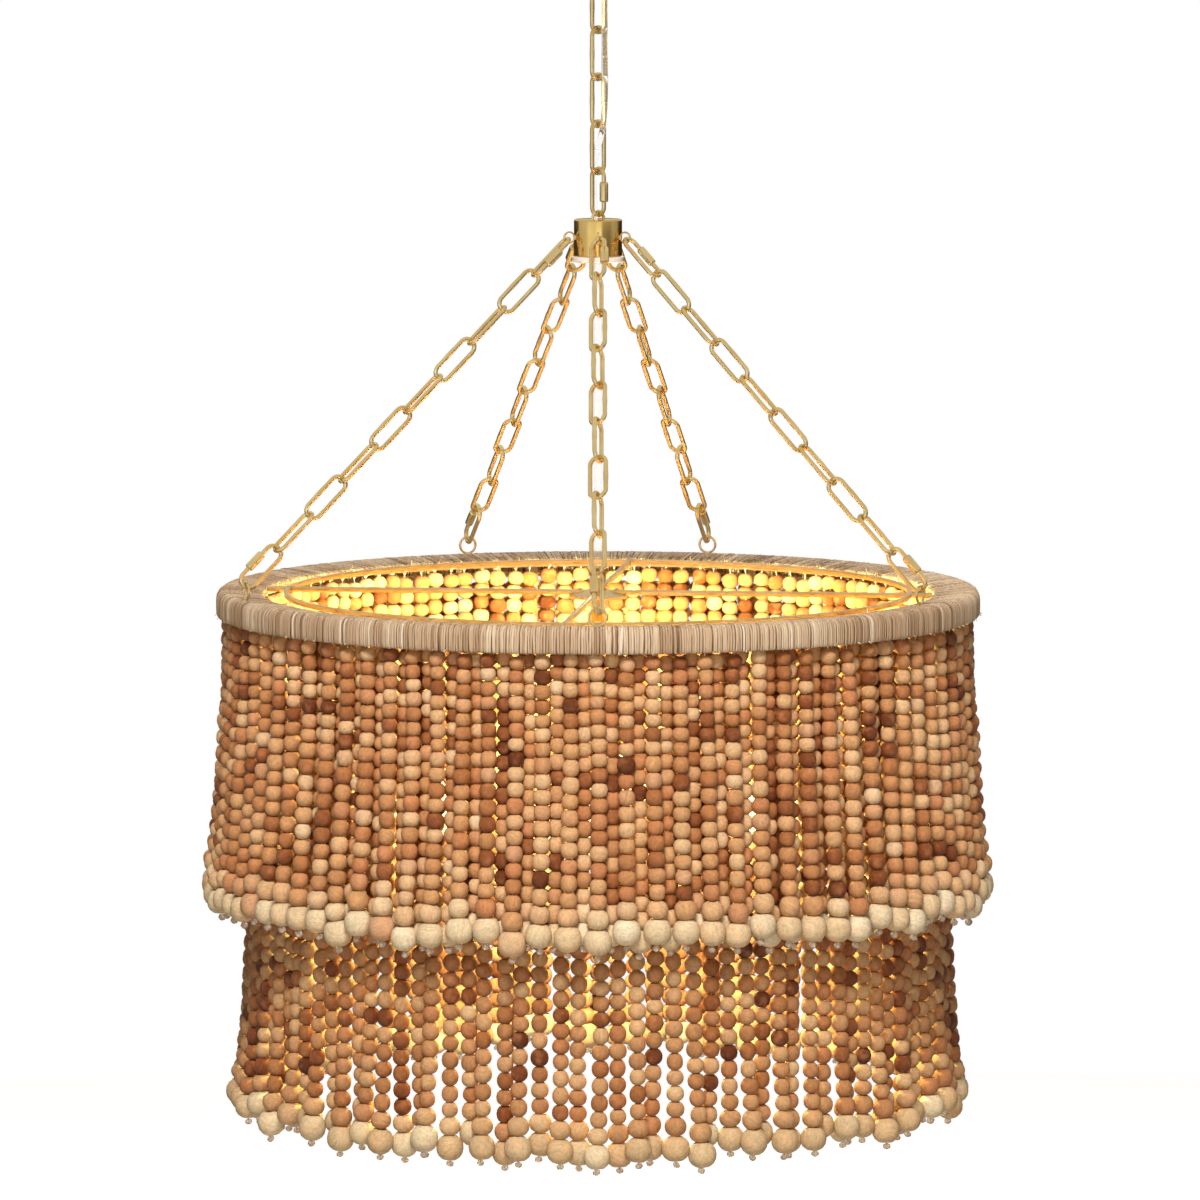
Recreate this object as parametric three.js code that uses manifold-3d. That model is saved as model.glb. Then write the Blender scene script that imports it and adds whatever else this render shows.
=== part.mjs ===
// A beaded chandelier that hangs from a ceiling on a chain: a brass hub carries five side chains, which carry
// a reed wrapped band, a cross with four lamps, and two bead curtains.
// Units are millimetres and +Z is up. The origin is on the ceiling, on the axis of the fixture, and the photo's
// front is towards -Y.
import * as THREE from 'three';
import { mergeVertices } from 'three/addons/utils/BufferGeometryUtils.js';
import Module from 'manifold-3d';

const wasm = await Module();
wasm.setup();

// Clearances
const clearance = 0.3;
const cutOverrun = 2;

// Ceiling fixing
const canopyRadius = 62;
const canopyHeight = 25;
const canopyShoulder = 8;
const canopyWall = 1.5;
const crossbarEndGap = 8.5;
const crossbarWidth = 18;
const crossbarThickness = 3;
const crossbarHoleRadius = 2.6;
const crossbarHoleInset = 9;
const bossRadius = 9;
const bossHeight = 8;
const loopStemRadius = 5;
const collarRadius = 11;
const collarHeight = 8;
const canopyLoopWidth = 26;
const canopyLoopWire = 4.5;

// Main chain
// The chain hangs turned an eighth of a turn from the front. Its links take turns in two upright planes.
const chainTurn = Math.PI / 4;
const linkPitch = 44.7;
const linkWidth = 20.1;
const linkWire = 4.3;
const quickLinkPitch = 40;
const sleeveRadius = 4.3;
const sleeveLength = 19;

// Hub
const hubRadius = 23;
const hubHeight = 35.3;
const hubWall = 1.6;
const hubDiscRadius = 25.3;
const hubDiscThickness = 5.4;
const hubSpigotHeight = 4;
const hubLoopHeight = 6;
const hubLoopWire = 3;
const hubLoopTail = 5;
const hubEyeDrop = 17.1;
const hubEyeWidth = 12.1;
const hubEyeWire = 1.9;
const nutRadius = 3.2;
const nutHeight = 2.6;

// Side chains, and how far each is turned from the front as seen from above, in degrees
const sideChainPlaces = ['front', 'left', 'right', 'rear_left', 'rear_right'];
const sideChainTurns = [0, -69, 62.5, -158.4, 162];
const sideLinkCount = 10;
const linkWeld = 0.9;

// Band
const bandDrop = 354;
const bandRadius = 365;
const bandEyeInsets = [10, 10, 24, 10, 10];
const rimThickness = 6;
const apronHeight = 23.5;
const apronThickness = 4;
const bandEyeWidth = 18.8;
const bandEyeWire = 2.4;
const hoopThickness = 4.6;
const strutWidth = 8;
const strutThickness = 2.5;
const strutTurn = 28.5;
const strutCount = 10;

// Cross bars and their ring
const crossTurn = -6;
const crossRingInset = 23;
const crossRingDrop = 4;
const barWidth = 4;
const barHeight = 5;
const crossPlateRadius = 28;
const crossPlateThickness = 3;
const gripRadius = 8.5;
const gripHeight = 12;

// Lamps
const lampStemRadius = 6;
const lampStemBore = 4;
const lampStemLength = 80;
const lampBodyRadius = 24;
const lampBodyHeight = 34;
const lampArmReach = 168;
const lampArmDrop = 20;
const lampArmRise = 8;
const lampArmRadius = 5;
const holderRadius = 18.5;
const holderHeight = 42;
const holderWall = 3;
const bulbRadius = 30;
const bulbLength = 104;
const bulbCapRadius = 13;
const bulbCapLength = 25;

// Cords
const upperCordWidth = 5.6;
const lowerCordWidth = 7;
const cordTail = 8;

// The cord leaves the canopy, hangs in front of the chain, crosses through the fourth link and enters the hub
const upperCordRoute = [
  [8.5, -13, -14],
  [8.5, -13, -26],
  [7.2, -12.8, -46],
  [6.2, -12.4, -72],
  [6.4, -12.2, -104],
  [6.8, -12.2, -138],
  [6.4, -12, -166],
  [5.4, -11, -184],
  [3.2, -6.6, -199],
  [0, 0, -212],
  [-2.6, 6.8, -225],
  [-4.2, 11.6, -240],
  [-3.8, 13.2, -256],
  [-3, 13.4, -272],
  [-3, 13.4, -283],
  [-3, 13.4, -294],
].map(([x, y, z]) => new THREE.Vector3(x, y, z));

// Bead curtains
const sectorCount = 8;
const sectorGap = 1;
const hangGap = 0.4;
const curtainGap = 6;
const upperStrandsPerSector = 11;
const upperHangInset = 12.5;
const upperFlare = 15.9;
const upperDrop = 284.6;
const upperBeadWidth = 15;
const upperBackDepth = 6;
const upperHemBead = 26;
const upperSeedDrop = 11;
const lowerStrandsPerSector = 15;
const lowerHangInset = 3;
const lowerFlare = 13.2;
const lowerDrop = 484.5;
const lowerBeadWidth = 16;
const lowerHemBead = 26;
const lowerSeedDrop = 13;
const valleyDepth = 8;
const hemValleyDepth = 10;
const tipWidth = 7;

// Levels of a curtain: how far down the way to the hem bead, and how far out to the hem radius
const upperDropShares = [0, 0.45, 0.93];
const upperFlareShares = [0, 0.2, 0.86];
const lowerDropShares = [0, 0.45, 0.96];
const lowerFlareShares = [0, 0.35, 0.98];

// Where a strand's front turns into the valleys beside it, from its middle as a share of the strands' pitch
const crownShare = 0.22;

// Levels of a hem bead: how far below its middle, how wide, and how far its valleys rise, of its width
const hemDropShares = [-0.3, 0, 0.3, 0.5];
const hemWidthShares = [0.8, 1, 0.8, 0.4];
const hemRiseShares = [0, 0, 0.12, 0.25];

// Facets
const wireSides = 6;
const linkSteps = 12;
const sideWireSides = 4;
const sideLinkSteps = 8;
const eyeSteps = 8;
const smallRoundSteps = 12;
const holeSteps = 8;
const cordSides = 8;
const upperCordSteps = 32;
const hubLoopSteps = 14;
const archSteps = 6;
const backSteps = 5;
const globeSteps = 4;
const lampArmSteps = 7;
const canopySteps = 24;
const hubSteps = 20;
const bandSteps = 40;

const halfTurn = Math.PI;
const fullTurn = 2 * Math.PI;
const quarterTurn = Math.PI / 2;
const radians = THREE.MathUtils.degToRad;

// Finishes
const brass = { color: 0xc9a24f, roughness: 0.24, metalness: 1 };
const dullBrass = { color: 0xb8954c, roughness: 0.38, metalness: 1 };
const steel = { color: 0x9a9a98, roughness: 0.45, metalness: 1 };
const reed = { color: 0xc4aa86, roughness: 0.82, metalness: 0 };
const upperWood = { color: 0xb98555, roughness: 0.62, metalness: 0 };
const lowerWood = { color: 0xa8733f, roughness: 0.62, metalness: 0 };
const frosted = { color: 0xf0ead8, roughness: 0.4, metalness: 0 };
const clearJacket = { color: 0xe4ddcb, roughness: 0.3, metalness: 0 };
const warmGlass = { color: 0xffe6b0, roughness: 0.15, metalness: 0 };

function closedShape(geometry) {
  geometry.deleteAttribute('normal');
  geometry.deleteAttribute('uv');
  return mergeVertices(geometry, 1e-4);
}

function solidOf(geometry) {
  const closed = closedShape(geometry);
  const mesh = new wasm.Mesh({
    numProp: 3,
    vertProperties: new Float32Array(closed.attributes.position.array),
    triVerts: new Uint32Array(closed.index.array),
  });
  mesh.merge();
  return new wasm.Manifold(mesh);
}

function geometryOf(solid) {
  const mesh = solid.getMesh();
  const geometry = new THREE.BufferGeometry();
  geometry.setAttribute('position', new THREE.BufferAttribute(mesh.vertProperties, mesh.numProp));
  geometry.setIndex(new THREE.BufferAttribute(mesh.triVerts, 1));
  return geometry;
}

function fuse(geometries) {
  return geometryOf(geometries.map(solidOf).reduce((whole, next) => whole.add(next)));
}

function cut(geometry, cutters) {
  return geometryOf(cutters.map(solidOf).reduce((rest, next) => rest.subtract(next), solidOf(geometry)));
}

function partMesh(name, geometry, finish) {
  const shown = geometry.toNonIndexed();
  shown.computeVertexNormals();
  const mesh = new THREE.Mesh(shown, new THREE.MeshStandardMaterial(finish));
  mesh.name = name;
  return mesh;
}

// A lathe profile of [radius, height] pairs, turned about Z
function turned(profile, steps) {
  const points = profile.map(([radius, height]) => new THREE.Vector2(radius, height));
  const geometry = new THREE.LatheGeometry(points, steps);
  geometry.rotateX(quarterTurn);
  return geometry;
}

// A closed ring of rectangular section about Z, from the inner radius to the outer and from low to high
function hoop(inner, outer, low, high, steps) {
  return turned([[inner, low], [outer, low], [outer, high], [inner, high], [inner, low]], steps);
}

// A rod that stands on Z, from low to high
function rod(radius, low, high, steps) {
  const geometry = new THREE.CylinderGeometry(radius, radius, high - low, steps);
  geometry.rotateX(quarterTurn);
  geometry.translate(0, 0, (low + high) / 2);
  return geometry;
}

// A cutter for a round hole on Z whose facets lie no nearer to the axis than the radius
function drill(radius, low, high) {
  return rod(radius / Math.cos(halfTurn / holeSteps), low, high, holeSteps);
}

// The inner radius that a faceted round hole keeps at the middle of each facet
function flatRadius(radius, steps) {
  return radius * Math.cos(halfTurn / steps);
}

// An oval wire link in the XY plane, with its long axis on X. The pitch is its inner length.
function oval(pitch, width, wire, sides, steps) {
  const bend = (width - wire) / 2;
  const geometry = new THREE.TorusGeometry(bend / Math.cos(halfTurn / steps), wire / 2, sides, steps);
  geometry.rotateZ(halfTurn / steps);
  const straight = pitch + wire - 2 * bend;
  const position = geometry.attributes.position;
  for (let index = 0; index < position.count; index += 1) {
    const x = position.getX(index);
    position.setX(index, x + Math.sign(x) * straight / 2);
  }
  return geometry;
}

// A tube along a curve
function tubeAlong(curve, radius, sides, steps) {
  const section = new THREE.Shape();
  for (let side = 0; side < sides; side += 1) {
    const angle = fullTurn * side / sides;
    const across = radius * Math.cos(angle);
    const up = radius * Math.sin(angle);
    if (side === 0) section.moveTo(across, up);
    else section.lineTo(across, up);
  }
  section.closePath();
  return new THREE.ExtrudeGeometry(section, { steps, extrudePath: curve, bevelEnabled: false });
}

// A closed body lofted through outlines with the same number of points, from the top one to the bottom one
function loft(outlines) {
  const count = outlines[0].length;
  const positions = outlines.flat().flatMap((point) => point.toArray());
  const faces = [];
  for (let level = 0; level + 1 < outlines.length; level += 1) {
    for (let index = 0; index < count; index += 1) {
      const next = (index + 1) % count;
      const top = level * count;
      const low = top + count;
      faces.push(top + index, low + index, low + next);
      faces.push(top + index, low + next, top + next);
    }
  }
  const flat = (outline) => outline.map((point) => new THREE.Vector2(point.x, point.y));
  const lid = THREE.ShapeUtils.triangulateShape(flat(outlines[0]), []);
  lid.forEach(([a, b, c]) => faces.push(a, b, c));
  const last = (outlines.length - 1) * count;
  const base = THREE.ShapeUtils.triangulateShape(flat(outlines[outlines.length - 1]), []);
  base.forEach(([a, b, c]) => faces.push(last + a, last + c, last + b));
  const geometry = new THREE.BufferGeometry();
  geometry.setAttribute('position', new THREE.Float32BufferAttribute(positions, 3));
  geometry.setIndex(faces);
  return geometry;
}

// Heights worked down from the ceiling
const canopyLow = -canopyHeight;
const crossbarLength = 2 * (canopyRadius - canopyWall - crossbarEndGap);
const collarLow = canopyLow - clearance - collarHeight;
const canopyLoopRadius = (canopyLoopWidth - canopyLoopWire) / 2;
const canopyLoopHeight = collarLow - clearance - canopyLoopWidth / 2;
const firstContact = canopyLoopHeight - canopyLoopRadius + canopyLoopWire / 2;
const mainLinkNames = ['chain_link_1', 'chain_link_2', 'chain_link_3', 'chain_link_4'];
const quickLinkTop = firstContact - mainLinkNames.length * linkPitch;
const lastContact = quickLinkTop - quickLinkPitch;
const hubTop = lastContact - hubLoopHeight;
const hubLow = hubTop - hubHeight;
const hubEyeHeight = hubTop - hubEyeDrop;
const bandTop = hubTop - bandDrop;
const bandEyeRadii = bandEyeInsets.map((inset) => bandRadius - inset);
const upperTopRadius = bandRadius - upperHangInset;
const upperHemRadius = upperTopRadius + upperFlare;
const upperBack = upperTopRadius - upperBeadWidth / 2 - upperBackDepth;
const lowerTopRadius = upperBack - curtainGap - lowerBeadWidth / 2;
const lowerHemRadius = lowerTopRadius + lowerFlare;
const bandInner = lowerTopRadius - lowerHangInset;
const crossRingRadius = bandInner - crossRingInset;
const crossHeight = bandTop - crossRingDrop;

function makeCeilingFixing() {
  const group = new THREE.Group();
  const stemHole = loopStemRadius + clearance;
  const canopyHole = stemHole / Math.cos(halfTurn / canopySteps);
  const shoulderRadius = canopyRadius - canopyShoulder;
  const cordHole = upperCordWidth / 2 + clearance;
  const shell = turned([
    [canopyHole, canopyLow],
    [shoulderRadius, canopyLow],
    [canopyRadius, canopyLow + canopyShoulder],
    [canopyRadius, 0],
    [canopyRadius - canopyWall, 0],
    [canopyRadius - canopyWall, canopyLow + canopyShoulder],
    [shoulderRadius, canopyLow + canopyWall],
    [canopyHole, canopyLow + canopyWall],
    [canopyHole, canopyLow],
  ], canopySteps);
  const passage = drill(cordHole, canopyLow - cutOverrun, canopyLow + canopyWall + cutOverrun);
  passage.translate(upperCordRoute[0].x, upperCordRoute[0].y, 0);
  group.add(partMesh('canopy', cut(shell, [passage]), brass));

  const plate = new THREE.BoxGeometry(crossbarLength, crossbarWidth, crossbarThickness);
  plate.translate(0, 0, -crossbarThickness / 2);
  const bossLow = -crossbarThickness - bossHeight;
  const boss = rod(bossRadius, bossLow, -crossbarThickness / 2, smallRoundSteps);
  const screwHoles = [-1, 1].map((side) => {
    const hole = drill(crossbarHoleRadius, -crossbarThickness - cutOverrun, cutOverrun);
    hole.translate(side * (crossbarLength / 2 - crossbarHoleInset), 0, 0);
    return hole;
  });
  const bore = drill(stemHole, bossLow - cutOverrun, -crossbarThickness);
  group.add(partMesh('ceiling_crossbar', cut(fuse([plate, boss]), [...screwHoles, bore]), steel));

  const collar = hoop(stemHole / Math.cos(halfTurn / smallRoundSteps), collarRadius, collarLow, canopyLow - clearance, smallRoundSteps);
  group.add(partMesh('canopy_collar', collar, brass));

  const ring = new THREE.TorusGeometry(canopyLoopRadius, canopyLoopWire / 2, wireSides, linkSteps);
  ring.rotateX(quarterTurn);
  ring.translate(0, 0, canopyLoopHeight);
  const stemLow = canopyLoopHeight + canopyLoopRadius;
  const stem = rod(loopStemRadius, stemLow, -crossbarThickness - clearance, smallRoundSteps);
  const loop = partMesh('canopy_loop', fuse([ring, stem]), brass);
  loop.rotation.z = chainTurn;
  group.add(loop);
  return group;
}

function makeMainChain() {
  const group = new THREE.Group();
  const chain = new THREE.Group();
  chain.rotation.z = chainTurn;
  group.add(chain);
  const linkShape = oval(linkPitch + clearance, linkWidth, linkWire, wireSides, linkSteps);
  linkShape.rotateY(quarterTurn);
  mainLinkNames.forEach((name, index) => {
    const link = partMesh(name, closedShape(linkShape.clone()), brass);
    link.position.z = firstContact - (index + 1 / 2) * linkPitch;
    link.rotation.z = (index % 2) * quarterTurn;
    chain.add(link);
  });

  const quickLinkHeight = quickLinkTop - quickLinkPitch / 2;
  const quickShape = oval(quickLinkPitch + clearance, linkWidth, linkWire, wireSides, linkSteps);
  quickShape.rotateY(quarterTurn);
  const quickLink = partMesh('quick_link', closedShape(quickShape), brass);
  const sleeveShape = hoop(
    (linkWire / 2 + clearance) / Math.cos(halfTurn / wireSides),
    sleeveRadius,
    -sleeveLength / 2,
    sleeveLength / 2,
    wireSides,
  );
  const sleeve = partMesh('quick_link_sleeve', sleeveShape, brass);
  sleeve.position.y = -(linkWidth - linkWire) / 2;
  const fastener = new THREE.Group();
  fastener.add(quickLink, sleeve);
  fastener.position.z = quickLinkHeight;
  fastener.rotation.z = (mainLinkNames.length % 2) * quarterTurn;
  chain.add(fastener);

  const route = new THREE.CatmullRomCurve3(upperCordRoute, false, 'centripetal');
  const cord = tubeAlong(route, upperCordWidth / 2, cordSides, upperCordSteps);
  group.add(partMesh('upper_cord', closedShape(cord), clearJacket));
  return group;
}

function makeHub() {
  const group = new THREE.Group();
  const staple = hubLoopHeight + hubLoopWire / 2;
  const inner = hubRadius - hubWall;
  const cup = turned([
    [0, 0],
    [hubRadius, 0],
    [hubRadius, -hubHeight],
    [inner, -hubHeight],
    [inner, -hubWall],
    [0, -hubWall],
  ].reverse(), hubSteps);
  const stapleHoles = [-1, 1].map((side) => {
    const hole = drill(hubLoopWire / 2 + clearance, -hubWall - cutOverrun, cutOverrun);
    hole.translate(side * staple * Math.cos(chainTurn), side * staple * Math.sin(chainTurn), 0);
    return hole;
  });
  const cordEntry = drill(upperCordWidth / 2 + clearance, -hubWall - cutOverrun, cutOverrun);
  const entry = upperCordRoute[upperCordRoute.length - 1];
  cordEntry.translate(entry.x, entry.y, 0);
  const eyeHoles = sideChainTurns.map((turn) => {
    const hole = drill(hubEyeWire / 2 + clearance, inner - cutOverrun, hubRadius + cutOverrun);
    hole.rotateY(quarterTurn);
    hole.translate(0, 0, -hubEyeDrop);
    hole.rotateZ(sideAngle(turn));
    return hole;
  });
  const body = partMesh('hub_body', cut(cup, [...stapleHoles, cordEntry, ...eyeHoles]), brass);
  group.add(body);

  const arch = new THREE.CurvePath();
  const low = -hubWall - hubLoopTail;
  arch.add(new THREE.LineCurve3(new THREE.Vector3(-staple, 0, low), new THREE.Vector3(-staple, 0, 0)));
  const rim = Array.from({ length: archSteps + 1 }, (_, step) => {
    const angle = halfTurn * (1 - step / archSteps);
    return new THREE.Vector3(staple * Math.cos(angle), 0, staple * Math.sin(angle));
  });
  rim.slice(1).forEach((point, step) => arch.add(new THREE.LineCurve3(rim[step], point)));
  arch.add(new THREE.LineCurve3(new THREE.Vector3(staple, 0, 0), new THREE.Vector3(staple, 0, low)));
  const bow = tubeAlong(arch, hubLoopWire / 2, wireSides, hubLoopSteps);
  const loopNuts = [-1, 1].map((side) => {
    const nut = rod(nutRadius, -hubWall - clearance - nutHeight, -hubWall - clearance, wireSides);
    nut.translate(side * staple, 0, 0);
    return nut;
  });
  const loop = partMesh('hub_loop', fuse([bow, ...loopNuts]), brass);
  loop.rotation.z = chainTurn;
  group.add(loop);

  const cordHole = (lowerCordWidth / 2 + clearance) / Math.cos(halfTurn / hubSteps);
  const spigotRadius = flatRadius(inner, hubSteps) - clearance;
  const disc = turned([
    [cordHole, -hubHeight - clearance - hubDiscThickness],
    [hubDiscRadius, -hubHeight - clearance - hubDiscThickness],
    [hubDiscRadius, -hubHeight - clearance],
    [spigotRadius, -hubHeight - clearance],
    [spigotRadius, -hubHeight + hubSpigotHeight],
    [cordHole, -hubHeight + hubSpigotHeight],
    [cordHole, -hubHeight - clearance - hubDiscThickness],
  ], hubSteps);
  group.add(partMesh('hub_disc', disc, frosted));
  group.position.z = hubTop;
  return group;
}

function sideAngle(turnFromFront) {
  return -quarterTurn + radians(turnFromFront);
}

// Where a side chain runs, in its own upright plane, as [radius, height]. It pulls on the near side of the hub's
// eye and on the top of the band's eye, which stands square to it.
const hubEyeCentre = new THREE.Vector2(hubRadius + clearance + hubEyeWidth / 2, hubEyeHeight);
const bandEyeHeight = bandTop + clearance + bandEyeWidth / 2;

function sideChainRun(bandEyeRadius) {
  const bandEyeTop = new THREE.Vector2(bandEyeRadius, bandEyeHeight + (bandEyeWidth - bandEyeWire) / 2);
  const direction = bandEyeTop.clone().sub(hubEyeCentre).normalize();
  const start = hubEyeCentre.clone().addScaledVector(direction, hubEyeWidth / 2 - hubEyeWire);
  const end = bandEyeTop.clone().addScaledVector(direction, bandEyeWire / 2);
  const span = start.distanceTo(end);
  const pitch = (span + 2 * clearance - (sideLinkCount - 1) * linkWeld) / sideLinkCount;
  return { start, direction, pitch };
}

// One side chain along +X from its upper eye. Its links bear on each other, and both end links are screw links.
function sideChainShape(pitch) {
  const pieces = [];
  for (let index = 0; index < sideLinkCount; index += 1) {
    const link = oval(pitch, linkWidth, linkWire, sideWireSides, sideLinkSteps);
    const middle = index * (pitch + linkWeld) + pitch / 2 - clearance;
    const upright = index % 2 === 1;
    if (upright) link.rotateX(quarterTurn);
    link.translate(middle, 0, 0);
    pieces.push(link);
    if (index === 0 || index === sideLinkCount - 1) {
      const sleeve = rod(sleeveRadius, -sleeveLength / 2, sleeveLength / 2, wireSides);
      sleeve.rotateY(quarterTurn);
      const leg = (linkWidth - linkWire) / 2;
      sleeve.translate(middle, upright ? 0 : leg, upright ? leg : 0);
      pieces.push(sleeve);
    }
  }
  return fuse(pieces);
}

function makeSideChains() {
  const group = new THREE.Group();

  const hubRing = new THREE.TorusGeometry((hubEyeWidth - hubEyeWire) / 2, hubEyeWire / 2, sideWireSides, eyeSteps);
  hubRing.rotateX(quarterTurn);
  hubRing.translate(hubEyeCentre.x, 0, 0);
  const hubTailStart = hubRadius - hubWall - clearance - nutHeight;
  const hubTail = rod(hubEyeWire / 2, hubTailStart, hubEyeCentre.x - (hubEyeWidth - hubEyeWire) / 2, wireSides);
  const nutFace = flatRadius(hubRadius - hubWall, hubSteps) - clearance;
  const nutWide = Math.sqrt(nutFace * nutFace - nutRadius * nutRadius);
  const hubNut = rod(nutRadius, nutWide - nutHeight, nutWide, wireSides);
  hubTail.rotateY(quarterTurn);
  hubNut.rotateY(quarterTurn);
  const hubEyeShape = fuse([hubRing, hubTail, hubNut]);

  const bandRing = new THREE.TorusGeometry((bandEyeWidth - bandEyeWire) / 2, bandEyeWire / 2, sideWireSides, eyeSteps);
  bandRing.rotateX(quarterTurn);
  bandRing.rotateZ(quarterTurn);
  const tailTop = -(bandEyeWidth - bandEyeWire) / 2;
  const rimLow = -bandEyeWidth / 2 - clearance - rimThickness;
  const bandTail = rod(bandEyeWire / 2, rimLow - clearance - nutHeight, tailTop, wireSides);
  const bandNut = rod(nutRadius, rimLow - clearance - nutHeight, rimLow - clearance, wireSides);
  const bandEyeShape = fuse([bandRing, bandTail, bandNut]);

  sideChainPlaces.forEach((place, index) => {
    const arm = new THREE.Group();
    arm.rotation.z = sideAngle(sideChainTurns[index]);
    const hubEye = partMesh(`hub_eye_${place}`, hubEyeShape.clone(), brass);
    hubEye.position.z = hubEyeHeight;
    const run = sideChainRun(bandEyeRadii[index]);
    const chain = partMesh(`side_chain_${place}`, sideChainShape(run.pitch), brass);
    chain.position.set(run.start.x, 0, run.start.y);
    chain.rotation.y = -Math.atan2(run.direction.y, run.direction.x);
    const bandEye = partMesh(`band_eye_${place}`, bandEyeShape.clone(), brass);
    bandEye.position.set(bandEyeRadii[index], 0, bandEyeHeight);
    arm.add(hubEye, chain, bandEye);
    group.add(arm);
  });
  return group;
}

function makeBand() {
  const group = new THREE.Group();
  const inside = bandRadius - apronThickness;
  const wrap = turned([
    [bandInner, -rimThickness],
    [inside, -rimThickness],
    [inside, -apronHeight],
    [bandRadius, -apronHeight],
    [bandRadius, 0],
    [bandInner, 0],
    [bandInner, -rimThickness],
  ], bandSteps);
  const eyeHoles = sideChainTurns.map((turn, index) => {
    const hole = drill(bandEyeWire / 2 + clearance, -rimThickness - cutOverrun, cutOverrun);
    hole.translate(bandEyeRadii[index], 0, 0);
    hole.rotateZ(sideAngle(turn));
    return hole;
  });
  group.add(partMesh('band_wrap', cut(wrap, eyeHoles), reed));

  const innerHoopLow = -rimThickness - clearance - hoopThickness;
  const innerHoopRadius = lowerTopRadius - hoopThickness / 2;
  const innerHoop = hoop(innerHoopRadius, innerHoopRadius + hoopThickness, innerHoopLow,
    innerHoopLow + hoopThickness, bandSteps);
  const outerHoopOuter = flatRadius(inside, bandSteps) - clearance;
  const outerHoopLow = -apronHeight;
  const outerHoop = hoop(outerHoopOuter - hoopThickness, outerHoopOuter, outerHoopLow,
    outerHoopLow + hoopThickness, bandSteps);
  const strutTop = -rimThickness - clearance;
  const outerHoopMiddle = outerHoopOuter - hoopThickness / 2;
  const innerHoopMiddle = innerHoopRadius + hoopThickness / 2;
  const struts = Array.from({ length: strutCount }, (_, index) => {
    const arm = new THREE.BoxGeometry(outerHoopMiddle - innerHoopMiddle, strutWidth, strutThickness);
    arm.translate((outerHoopMiddle + innerHoopMiddle) / 2, 0, strutTop - strutThickness / 2);
    const legHeight = strutTop - outerHoopLow - hoopThickness / 2;
    const leg = new THREE.BoxGeometry(strutThickness, strutWidth, legHeight);
    leg.translate(outerHoopMiddle, 0, strutTop - legHeight / 2);
    const angle = radians(strutTurn) + fullTurn * index / strutCount;
    return [arm.rotateZ(angle), leg.rotateZ(angle)];
  }).flat();
  group.add(partMesh('band_frame', fuse([innerHoop, outerHoop, ...struts]), dullBrass));
  group.position.z = bandTop;
  return group;
}

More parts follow.
